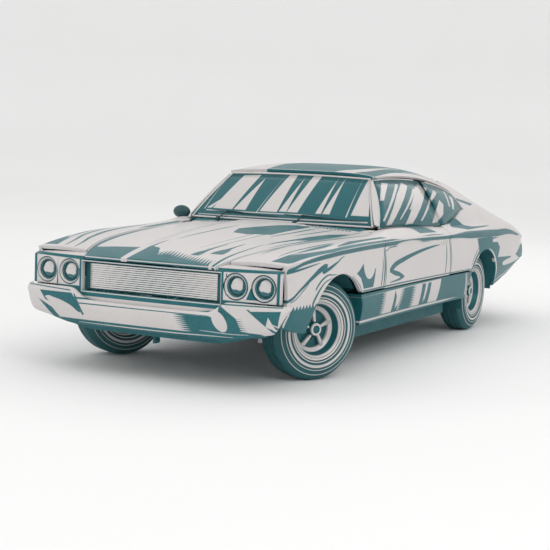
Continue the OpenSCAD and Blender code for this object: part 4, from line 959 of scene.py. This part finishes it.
def arch_liners(finish):
    """Inner shells of the rear wheel arches, closing the view past the tyres."""
    inner, outer = 0.606, 0.925
    first, sweep = radians(-18), radians(199)
    for s, side in SIDES:
        bm = bmesh.new()
        verts = [bm.verts.new((r, 0, h)) for r, h in ((0.376, outer), (0.376, inner + 0.02), (0.360, inner),
                                                      (0.170, inner))]
        edges = [bm.edges.new(pair) for pair in zip(verts, verts[1:])]
        bmesh.ops.rotate(bm, verts=verts, cent=(0, 0, 0), matrix=Matrix.Rotation(first, 3, "Z"))
        bmesh.ops.spin(bm, geom=verts + edges, cent=(0, 0, 0), axis=(0, 0, 1), angle=sweep, steps=36,
                       use_merge=False, use_duplicate=False)
        bmesh.ops.recalc_face_normals(bm, faces=bm.faces)
        bmesh.ops.solidify(bm, geom=bm.faces[:], thickness=0.003)
        # Stand the tunnel across the car, its mouth outward
        put(bm, Matrix.Translation((REAR_AXLE.x, 0, REAR_AXLE.z)) @ Matrix.Diagonal((1, s, 1, 1))
            @ Matrix(((1, 0, 0, 0), (0, 0, 1, 0), (0, 1, 0, 0), (0, 0, 0, 1))))
        for vert in bm.verts:
            reach = 0.885 + 0.2 * max(0.0, vert.co.z - REAR_AXLE.z)
            vert.co.y = s * min(abs(vert.co.y), reach)
        piece("arch_liner_" + side, bm, "body", "underbody", finish)


def wipers(dark):
    """Two blades laid on the windshield's foot, each with its arm and pivot."""
    screen = caster("fixed_glass")
    for name, start, end in (("wiper_left", 0.66, 0.06), ("wiper_right", 0.02, -0.58)):
        blade = []
        for k in range(9):
            y = start + (end - start) * k / 8
            spot = screen((2.0, y, 0.975 + 0.018 * k / 8), (-1, 0, 0))
            blade.append(spot + Vector((0.012, 0, 0.006)))
        bead(name + "_blade", blade, 0.0045, "body", "bare_steel", dark, taper=0.5)
        pivot = Vector((0.846, end + 0.10, 0.938))
        arm = [pivot, pivot + Vector((-0.004, 0.02, 0.018)), blade[6] + Vector((0.008, 0, 0.006)),
               blade[4] + Vector((0.006, 0, 0.003))]
        bead(name + "_arm", arm, 0.0055, "body", "bare_steel", dark, taper=0.7)
        turned(name + "_pivot", [(0.0, 0.020), (0.010, 0.018), (0.014, 0.010), (0.015, -0.010),
                                 (0.0, -0.010)],
               pivot, (0.2, 0, 1), "body", "chrome", dark, steps=20, closed=False)


def mirror(shell, face):
    """A rounded pod with a sunk glass, on a foot on the right door."""
    low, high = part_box("door_mirror")
    middle = Vector(((low.x + high.x) / 2, low.y + 0.040, (low.z + high.z) / 2 - 0.004))
    bm = bmesh.new()
    bmesh.ops.create_uvsphere(bm, u_segments=32, v_segments=16, radius=1.0)
    bmesh.ops.bisect_plane(bm, geom=bm.verts[:] + bm.edges[:] + bm.faces[:], plane_co=(-0.35, 0, 0),
                           plane_no=(-1, 0, 0), clear_outer=True)
    rim = [e for e in bm.edges if e.is_boundary]
    bmesh.ops.holes_fill(bm, edges=rim, sides=0)
    back = max(bm.faces, key=lambda f: f.calc_area())
    bmesh.ops.inset_region(bm, faces=[back], thickness=0.12, use_even_offset=True)
    bmesh.ops.translate(bm, vec=(0.12, 0, 0), verts=back.verts)
    back.material_index = 1
    put(bm, Matrix.Translation(middle) @ Matrix.Diagonal((0.046, 0.072, 0.050, 1)))
    block(bm, (middle.x - 0.018, high.y - 0.045, low.z - 0.004),
          (middle.x + 0.018, high.y + 0.004, low.z + 0.030),
          bevel=0.008)
    made = piece("door_mirror_pod", bm, "door_right", "chrome", shell, face, smooth=50)
    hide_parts("door_mirror")


def door_fittings(chrome, pad):
    """Handles and locks outside, padded trim with an armrest and levers inside."""
    inner = 0.790
    for s, side in SIDES:
        body = "door_" + side
        mirrored = Matrix.Diagonal((1, s, 1, 1))
        y = abs(caster(body)((-0.235, s * 2, 0.795), (0, -s, 0)).y)
        bm = bmesh.new()
        for low, high in (((-0.315, y - 0.004, 0.788), (-0.175, y + 0.006, 0.806)),
                          ((-0.300, y + 0.004, 0.792), (-0.215, y + 0.012, 0.802))):
            block(bm, low, high, bevel=0.004, segments=3)
        put(bm, mirrored)
        piece("door_handle_" + side, bm, body, "chrome", chrome)
        turned("door_lock_" + side, [(0.0, 0.004), (0.010, 0.003), (0.012, 0.0), (0.012, -0.004),
                                     (0.0, -0.004)],
               (-0.205, s * (y + 0.001), 0.768), (0, s, 0), body, "chrome", chrome, steps=20, closed=False)
        bm = bmesh.new()
        block(bm, (-0.32, inner - 0.006, 0.585), (0.90, inner + 0.002, 0.885), bevel=0.003)
        for k in range(16):
            x = -0.26 + 0.052 * k
            block(bm, (x, inner - 0.011, 0.70), (x + 0.034, inner - 0.004, 0.86), bevel=0.004, segments=3)
        block(bm, (-0.10, inner - 0.050, 0.655), (0.42, inner - 0.004, 0.690), bevel=0.012, segments=3)
        put(bm, mirrored)
        piece("door_trim_" + side, bm, body, "interior_trim", pad)
        bm = bmesh.new()
        block(bm, (0.52, inner - 0.020, 0.640), (0.60, inner - 0.006, 0.652), bevel=0.004)
        block(bm, (0.585, inner - 0.045, 0.636), (0.605, inner - 0.010, 0.656), bevel=0.006)
        block(bm, (0.62, inner - 0.022, 0.800), (0.70, inner - 0.006, 0.812), bevel=0.004)
        put(bm, mirrored)
        piece("door_levers_" + side, bm, body, "chrome", chrome)


def tail_fittings(red, chrome, blank):
    """Ribbed lamp lenses in bright frames, a blank plate and the exhaust's tips."""
    low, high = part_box("tail_lamps")
    bm = bmesh.new()
    for s in (1, -1):
        y0, y1 = sorted((s * 0.394, s * high.y))
        block(bm, (low.x + 0.006, y0, low.z), (high.x, y1, high.z), bevel=0.006, segments=3)
        for k in range(9):
            y = s * (0.412 + 0.046 * k)
            block(bm, (low.x, y - 0.017, low.z + 0.010), (low.x + 0.010, y + 0.017, high.z - 0.010),
                  bevel=0.005)
    lens = piece("tail_lamp_lenses", bm, "body", "lamp_red", red)
    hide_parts("tail_lamps")
    for s, side in SIDES:
        corners = [(s * 0.386, low.z - 0.006), (s * (high.y + 0.006), low.z - 0.006),
                   (s * (high.y + 0.006), high.z + 0.006),
                   (s * 0.386, high.z + 0.006)]
        bead("tail_lamp_frame_" + side, [(low.x + 0.006, y, z) for y, z in corners], 0.006, "body",
             "chrome", chrome,
             closed=True)
    bm = bmesh.new()
    block(bm, (low.x + 0.004, -0.155, 0.632), (low.x + 0.010, 0.155, 0.708), bevel=0.003)
    piece("blank_plate", bm, "body", "body_paint", blank)
    pipe_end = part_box("exhaust")[0].x
    for s, side in SIDES:
        ends = [v.co for v in nodes["exhaust"].data.vertices if v.co.x < pipe_end + 0.01 and s * v.co.y > 0]
        middle = sum(ends, Vector()) / len(ends)
        turned("exhaust_tip_" + side, [(0.019, -0.10), (0.024, -0.10), (0.027, 0.008), (0.025, 0.012),
                                       (0.021, 0.008),
                                       (0.019, -0.04)], middle, (-1, 0, -0.06), "body", "bare_steel",
                                       chrome, steps=32)


def dash_fittings(chrome, dark, face):
    """The dash's binnacle, dials and controls, and the console with its shift lever."""
    panel = 0.545
    bm = bmesh.new()
    block(bm, (panel - 0.014, 0.16, 0.770), (panel + 0.02, 0.54, 0.880), bevel=0.012, segments=4)
    block(bm, (panel - 0.008, -0.60, 0.700), (panel + 0.01, -0.22, 0.790), bevel=0.006)
    block(bm, (panel - 0.010, -0.12, 0.690), (panel + 0.01, 0.10, 0.860), bevel=0.006)
    piece("dash_binnacle", bm, "body", "interior_trim", dark)
    for k, (y, r) in enumerate(((0.435, 0.040), (0.265, 0.040), (0.350, 0.028))):
        turned(f"dial_{k}_ring", [(r, -0.002), (r + 0.004, 0.0), (r + 0.003, 0.006), (r - 0.002, 0.006),
                                  (r - 0.003, -0.002)],
               (panel - 0.014, y, 0.826), (-1, 0, 0), "body", "chrome", chrome, steps=32)
        turned(f"dial_{k}_face", [(0.0, 0.001), (r - 0.002, 0.001), (r - 0.002, -0.004), (0.0, -0.004)],
               (panel - 0.014, y, 0.826), (-1, 0, 0), "body", "interior_trim", face, steps=32, closed=False)
    bm = bmesh.new()
    for k in range(5):
        block(bm, (panel - 0.022, -0.094 + k * 0.036, 0.712), (panel - 0.008, -0.078 + k * 0.036, 0.728),
              bevel=0.004)
    block(bm, (panel - 0.013, -0.100, 0.745), (panel - 0.008, 0.080, 0.775), bevel=0.002)
    for k in range(9):
        z = 0.795 + 0.006 * k
        block(bm, (panel - 0.013, -0.100, z), (panel - 0.008, 0.080, z + 0.0032), bevel=0.001, segments=1)
    piece("dash_controls", bm, "body", "interior_trim", chrome)
    bm = bmesh.new()
    block(bm, (0.02, -0.075, 0.345), (0.46, 0.075, 0.440), bevel=0.018, segments=4)
    piece("console", bm, "body", "interior_trim", dark)
    bead("shift_lever", [(0.33, 0, 0.43), (0.325, 0, 0.50), (0.31, 0, 0.56)], 0.007, "body",
         "interior_trim", chrome)
    turned("shift_knob", [(0.0, 0.028), (0.016, 0.024), (0.024, 0.008), (0.020, -0.012), (0.008, -0.022),
                          (0.0, -0.022)],
           (0.305, 0, 0.575), (-0.2, 0, 1), "body", "interior_trim", dark, steps=24, closed=False)


def engine_dress(iron, chrome, dark):
    """The block, its ribbed covers, air cleaner and pulleys, within the plain engine's box."""
    low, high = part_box("engine")
    banks = {s: Matrix.Translation((0, s * 0.175, 0.585)) @ Matrix.Rotation(-s * radians(42), 4, "X")
             for s, _ in SIDES}
    bm = bmesh.new()
    block(bm, (low.x + 0.06, -0.17, low.z + 0.10), (high.x - 0.10, 0.17, 0.62), bevel=0.015, segments=3)
    block(bm, (low.x + 0.12, -0.13, low.z), (high.x - 0.16, 0.13, low.z + 0.12), bevel=0.02, segments=3)
    for bank in banks.values():
        before = set(bm.verts)
        block(bm, (low.x + 0.07, -0.055, -0.09), (high.x - 0.12, 0.055, 0.09), bevel=0.012, segments=3)
        fresh = grown(bm, before)
        bmesh.ops.transform(bm, verts=fresh, matrix=bank)
    made = piece("engine_block", bm, "body", "cast_block", iron)
    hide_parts("engine")
    bm = bmesh.new()
    # Each cover, as its start, length and top, then its ribs
    parts = [(0.075, 0.48, 0.120)] + [(0.085 + 0.055 * k, 0.030, 0.128) for k in range(8)]
    for bank in banks.values():
        before = set(bm.verts)
        for start, length, top in parts:
            x = low.x + start
            block(bm, (x, -0.045, 0.085), (x + length, 0.045, top), bevel=0.010, segments=3)
        bmesh.ops.transform(bm, verts=grown(bm, before), matrix=bank)
    piece("valve_covers", bm, "body", "cast_block", chrome)
    turned("air_cleaner", [(0.0, 0.060), (0.012, 0.060), (0.014, 0.052), (0.150, 0.046), (0.162, 0.040),
                           (0.160, 0.030), (0.150, 0.026), (0.150, -0.010), (0.160, -0.014),
                           (0.160, -0.022), (0.0, -0.026)],
           (1.56, 0, 0.735), (0, 0, 1), "body", "cast_block", dark, steps=64, closed=False)
    for name, spot, r in (("crank_pulley", (1.895, 0, 0.47), 0.075),
                          ("fan_pulley", (1.895, 0, 0.64), 0.065),
                          ("alternator_pulley", (1.885, 0.15, 0.655), 0.040)):
        turned(name, [(0.0, 0.010), (r * 0.4, 0.012), (r * 0.9, 0.004), (r, 0.008), (r, 0.014),
                      (r * 0.9, 0.018),
                      (r, 0.024), (r, 0.030), (0.0, 0.030)], spot, (1, 0, 0), "body", "cast_block", iron,
                      steps=40,
               closed=False)


# Seats: the mesh's grain, the cloth's pressure, how far it may puff, and the sewn channels
GRAIN, PRESSURE, PUFF = 0.011, 4.0, 0.022
GROOVE, GROOVE_HALF = 0.010, 0.009


def cushion(name, node, low, high, finish, lean=0.0, pivot=None, channels=5):
    """A padded form between two corners, puffed by cloth pressure, then sewn into channels."""
    bm = bmesh.new()
    low, high = Vector(low), Vector(high)
    block(bm, low, high, bevel=0.028, segments=4)
    turn = Matrix.Translation(pivot) @ Matrix.Rotation(lean, 4, "Y") @ Matrix.Translation(-Vector(pivot)) \
        if pivot else Matrix.Identity(4)
    bmesh.ops.transform(bm, matrix=turn, verts=bm.verts)
    made = piece(name, bm, "body", "upholstery", finish, smooth=180)
    bpy.context.view_layer.objects.active = made
    remesh = made.modifiers.new("remesh", "REMESH")
    remesh.mode, remesh.voxel_size = "VOXEL", GRAIN
    settle(made, "remesh")
    before = [v.co.copy() for v in made.data.vertices]
    cloth = made.modifiers.new("cloth", "CLOTH")
    cloth.settings.use_pressure = True
    cloth.settings.uniform_pressure_force = PRESSURE
    cloth.settings.effector_weights.gravity = 0.0
    cloth.settings.quality = 4
    for frame_no in range(1, 21):
        bpy.context.scene.frame_set(frame_no)
    settle(made, "cloth")
    bpy.context.scene.frame_set(1)
    back = turn.inverted()
    size = high - low
    flat = size.z < size.x
    up = Vector((0, 0, 1)) if flat else Vector((1, 0, 0))
    for vert, start in zip(made.data.vertices, before):
        move = vert.co - start
        if move.length > PUFF:
            vert.co = start + move * (PUFF / move.length)
        spot = back @ vert.co
        share = ((spot.y - low.y) / size.y) * channels
        groove = max(1 - abs(share - round(share)) * size.y / channels / GROOVE_HALF, 0)
        depth = (spot - low).dot(up) / size.dot(up)
        if 0.5 < share < channels - 0.5 and depth > 0.6:
            vert.co -= (turn.to_3x3() @ up) * GROOVE * groove
    soften = made.modifiers.new("soften", "SUBSURF")
    soften.levels = soften.render_levels = 1
    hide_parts(node)


def settle(made, modifier):
    """Puts a modifier's result into the mesh."""
    bpy.context.view_layer.update()
    shaped = bpy.data.meshes.new_from_object(made.evaluated_get(bpy.context.evaluated_depsgraph_get()))
    made.modifiers.remove(made.modifiers[modifier])
    old = made.data
    made.data = shaped
    bpy.data.meshes.remove(old)


def seats(vinyl):
    """Two front bucket seats and the rear bench."""
    for s, side in SIDES:
        y0, y1 = sorted((s * 0.168, s * 0.576))
        cushion("front_cushion_" + side, "front_seats", (-0.12, y0, 0.345), (0.285, y1, 0.475), vinyl)
        cushion("front_backrest_" + side, "front_seats", (-0.225, y0, 0.44), (-0.125, y1, 0.955), vinyl,
                lean=radians(-8), pivot=(-0.17, 0, 0.44))
    cushion("rear_cushion", "rear_seat", (-1.11, -0.470, 0.445), (-0.735, 0.470, 0.560), vinyl, channels=9)
    cushion("rear_backrest", "rear_seat", (-1.205, -0.470, 0.545), (-1.115, 0.470, 0.835), vinyl,
            lean=radians(-14), pivot=(-1.15, 0, 0.545), channels=9)


# ---------------------------------------------------------------- stage
def camera():
    """Stands ahead and to the left at eye height, tilted a little."""
    place = (9.16351, 4.28835, 1.48451)
    turn, pitch, roll = radians(27.17), radians(5.706), radians(2.08)
    ahead = Vector((-cos(turn) * cos(pitch), -sin(turn) * cos(pitch), -sin(pitch)))
    level = ahead.cross(Vector((0, 0, 1))).normalized()
    upright = level.cross(ahead)
    right = cos(roll) * level + sin(roll) * upright
    up = cos(roll) * upright - sin(roll) * level
    data = bpy.data.cameras.new("camera")
    data.lens, data.sensor_width, data.clip_end = 83.68, 36, 200
    made = bpy.data.objects.new("camera", data)
    made.matrix_world = Matrix.Translation(place) @ Matrix((right, up, -ahead)).transposed().to_4x4()
    bpy.context.scene.collection.objects.link(made)
    bpy.context.scene.camera = made


def lamp(name, place, size, power):
    """A round soft light aimed at the car's middle."""
    target = Vector((0, 0, 0.5))
    data = bpy.data.lights.new(name, "AREA")
    data.shape, data.size, data.energy = "DISK", size, power
    made = bpy.data.objects.new(name, data)
    made.matrix_world = toward(Vector(place), Vector(place) - target)
    bpy.context.scene.collection.objects.link(made)


def studio():
    """A wide pale bowl of paper, a pale sky and three soft lights."""
    bm = bmesh.new()
    spin(bm, [(0.0, 0.0), (26.0, 0.0), (31.0, 1.2), (34.0, 4.5), (35.0, 10.0), (35.0, 16.0)], steps=64,
         closed=False)
    bmesh.ops.reverse_faces(bm, faces=bm.faces)
    mesh = bpy.data.meshes.new("floor")
    bm.to_mesh(mesh)
    bm.free()
    f = Finish("floor_paper")
    f.feed("Base Color", f.mix(f.noise(0.4), (0.87, 0.87, 0.87), (0.90, 0.90, 0.90)))
    f.feed("Roughness", f.noise(3.0) * 0.1 + 0.85)
    mesh.materials.append(f.material)
    mesh.shade_smooth()
    floor = bpy.data.objects.new("floor", mesh)
    bpy.context.scene.collection.objects.link(floor)
    world = bpy.data.worlds.new("studio")
    world.use_nodes = True
    sky = world.node_tree.nodes["Background"]
    sky.inputs["Color"].default_value = (1.0, 0.995, 0.99, 1)
    sky.inputs["Strength"].default_value = 0.97
    bpy.context.scene.world = world
    bpy.context.scene.view_settings.view_transform = "Standard"
    lamp("key", (7.0, 8.0, 8.5), 7.0, 230)
    lamp("fill", (9.0, -7.0, 6.0), 8.0, 110)
    lamp("back", (-9.0, 2.0, 8.0), 8.0, 110)


camera()
studio()

# Painted panels
SIDE = side_paint()
PLAIN_PALE = pale_paint()
METAL = plain("bright_metal", BRIGHT, 0.22, 1.0, grain=300.0, relief=0.03)
RIM_METAL = alloy()
# Teal for the grille's frame and the wheels' nuts, and for the disc and plate that stand in for shade
# behind the spokes and the grille bars
DARK_TRIM_AND_SHADE_FILL = plain("dark_trim_and_shade_fill", TEAL, 0.45, 0.2)
BLACKED = plain("underbody_paint", TEAL, 0.62, 0.0, grain=120.0, relief=0.25, spread=0.35)
STEEL = plain("bare_steel", (0.36, 0.38, 0.39), 0.42, 0.9, grain=200.0, relief=0.15, spread=0.25)
IRON = plain("cast_iron", (0.22, 0.25, 0.26), 0.6, 0.5, grain=90.0, relief=0.4, spread=0.3)
VINYL = plain("seat_vinyl", (0.030, 0.120, 0.130), 0.46, 0.0, grain=340.0, relief=0.35, spread=0.15)
PLASTIC = plain("dash_plastic", (0.022, 0.085, 0.095), 0.5, 0.0, grain=420.0, relief=0.3)
RED = plain("lamp_red", (0.30, 0.02, 0.02), 0.18, 0.0, grain=60.0, relief=0.1, coat_weight=1.0)
RUBBER = rubber()

panels = [("front_fenders", "body", "body_paint", SIDE), ("quarter_panels", "body", "body_paint", SIDE),
          ("door_left", "door_left", "body_paint", SIDE), ("door_right", "door_right", "body_paint", SIDE),
          ("rocker_panels", "body", "accent_paint", rocker_paint()),
          ("hood", "hood", "body_paint", hood_paint()),
          ("roof", "body", "body_paint", roof_paint()), ("cowl", "body", "body_paint", cowl_paint()),
          ("rear_deck_panel", "body", "body_paint", PLAIN_PALE),
          ("trunk_lid", "trunk_lid", "body_paint", PLAIN_PALE),
          ("windshield_pillars", "body", "body_paint", pillar_paint()),
          ("front_bumper", "body", "chrome", bumper_paint()), ("rear_bumper", "body", "chrome", METAL)]
for node, body, slot, finish in panels:
    stamped(node, body, slot, finish)
for node, finish in (("nose_panel", nose_paint()), ("tail_panel", PLAIN_PALE)):
    stamped(node, "body", "body_paint", finish, edge=0.002, rounds=0)

for corner in ("front_left", "front_right", "rear_left", "rear_right"):
    wheel(corner, RUBBER, RIM_METAL, DARK_TRIM_AND_SHADE_FILL)
lamps(lamp_finish())
grille(METAL, DARK_TRIM_AND_SHADE_FILL)


# Glass, with its reflections as slanted bands
SCREEN_BANDS = [
    ((-0.64, 1.01), (-0.60, 1.01), (-0.52, 1.10)),
    ((-0.585, 1.01), (-0.405, 1.01), (-0.31, 1.27), (-0.46, 1.26)),
    ((-0.39, 1.01), (-0.285, 1.01), (-0.255, 1.25)), ((-0.185, 1.0), (-0.178, 1.0), (-0.11, 1.23)),
    ((-0.16, 1.01), (-0.015, 1.01), (0.002, 1.28), (-0.065, 1.28)),
    ((0.0, 1.015), (0.06, 1.015), (0.072, 1.26)),
    ((0.065, 1.015), (0.15, 1.015), (0.20, 1.28), (0.135, 1.28)),
    ((0.29, 1.015), (0.335, 1.015), (0.338, 1.26)), ((0.345, 1.015), (0.40, 1.015), (0.393, 1.27)),
    ((0.525, 1.0), (0.535, 1.0), (0.528, 1.24)),
    ((0.56, 1.015), (0.69, 1.015), (0.60, 1.28), (0.567, 1.28)),
    ((-0.665, 1.0), (-0.658, 1.0), (-0.60, 1.23)),
    ((-0.70, 0.958), (-0.70, 0.964), (0.70, 0.976), (0.70, 0.968)),
    ((-0.64, 0.990), (-0.64, 0.996), (0.20, 1.004), (0.30, 0.998)),
]
SIDE_BANDS = [
    ((0.59, 0.950), (0.49, 0.955), (-0.08, 1.225), (0.00, 1.250), (0.20, 1.165)),
    ((0.63, 0.985), (0.60, 0.980), (0.08, 1.235), (0.12, 1.240)),
    ((0.54, 1.125), (0.47, 1.125), (0.24, 1.245), (0.34, 1.250)),
    ((0.26, 0.945), (0.13, 0.950), (-0.42, 1.205), (-0.30, 1.235), (0.00, 1.090)),
    ((0.33, 0.985), (0.31, 0.985), (-0.20, 1.200), (-0.15, 1.205)),
    ((0.10, 1.055), (0.08, 1.050), (-0.28, 1.215), (-0.22, 1.218)),
    ((-0.02, 0.965), (-0.05, 0.965), (-0.38, 1.108), (-0.35, 1.118)),
    ((-0.38, 1.108), (-0.60, 1.165), (-0.56, 1.190), (-0.36, 1.125)),
    ((-0.22, 0.942), (-0.40, 1.045), (-0.56, 1.112), (-0.605, 1.075), (-0.50, 1.000), (-0.33, 0.948)),
    ((-0.77, 1.035), (-0.80, 1.030), (-0.98, 1.125), (-0.90, 1.135)),
    ((-0.72, 1.06), (-0.74, 1.05), (-0.86, 1.17), (-0.82, 1.175)),
]
WINDSHIELD = tinted_glass("windshield_glass", "Y", SCREEN_BANDS)
SIDE_GLASS = tinted_glass("side_glass", "X", SIDE_BANDS)


def islands(bm):
    """The separate parts of a mesh, each as a list of faces."""
    found, seen = [], set()
    for start in bm.faces:
        if start in seen:
            continue
        island, queue = [], [start]
        seen.add(start)
        while queue:
            face = queue.pop()
            island.append(face)
            onward = {other for edge in face.edges for other in edge.link_faces} - seen
            seen |= onward
            queue += onward
        found.append(island)
    return found


def split_glass():
    """The fixed glass, parted into the windshield and the panes behind it."""
    source = merged("fixed_glass")
    for name, part, finish in (("windshield_pane", 0, WINDSHIELD), ("rear_pane", 1, SIDE_GLASS),
                               ("quarter_panes", 2, SIDE_GLASS)):
        bm = source.copy()
        wrong = []
        for island in islands(bm):
            middle = sum((face.calc_center_median() for face in island), Vector()) / len(island)
            rearward = abs(middle.y) < 0.56 or middle.x < -1.07
            if part != (0 if middle.x > 0.3 else 1 if rearward else 2):
                wrong += island
        bmesh.ops.delete(bm, geom=wrong, context="FACES")
        made = piece(name, bm, "body", "glass", finish, smooth=45)
        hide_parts("fixed_glass")
    source.free()


split_glass()
for side in ("left", "right"):
    made = piece("door_pane_" + side, merged("door_glass_" + side), "door_" + side, "glass", SIDE_GLASS,
                 smooth=45)
    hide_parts("door_glass_" + side)

TRIM_PALE = plain("trim_pale", PALE, 0.3, 0.1, grain=240.0, relief=0.03)
TRIM_DARK = plain("trim_dark", DEEP, 0.4, 0.0, grain=240.0, relief=0.05)
MIRROR_GLASS = plain("mirror_glass", (0.55, 0.60, 0.60), 0.12, 1.0, grain=40.0, relief=0.01)
glass_trims(TRIM_PALE)
arch_liners(BLACKED)
wipers(TRIM_DARK)
mirror(TRIM_DARK, MIRROR_GLASS)
door_fittings(METAL, PLASTIC)
tail_fittings(RED, METAL, PLAIN_PALE)
dash_fittings(METAL, PLASTIC, TRIM_PALE)
engine_dress(IRON, METAL, TRIM_DARK)
seats(VINYL)

# Nodes that keep their own shape
kept = ((BLACKED, ("chassis_frame", "cross_members", "floor_pan", "wheelhouses", "rear_axle", "fuel_tank",
                   "front_valance")),
        (STEEL, ("suspension", "tie_rods", "exhaust", "knuckle_left", "knuckle_right")),
        (IRON, ("driveline",)), (PLASTIC, ("dashboard", "steering_wheel", "package_shelf")))
for finish, names in kept:
    for name in names:
        for material_slot in nodes[name].material_slots:
            material_slot.material = finish
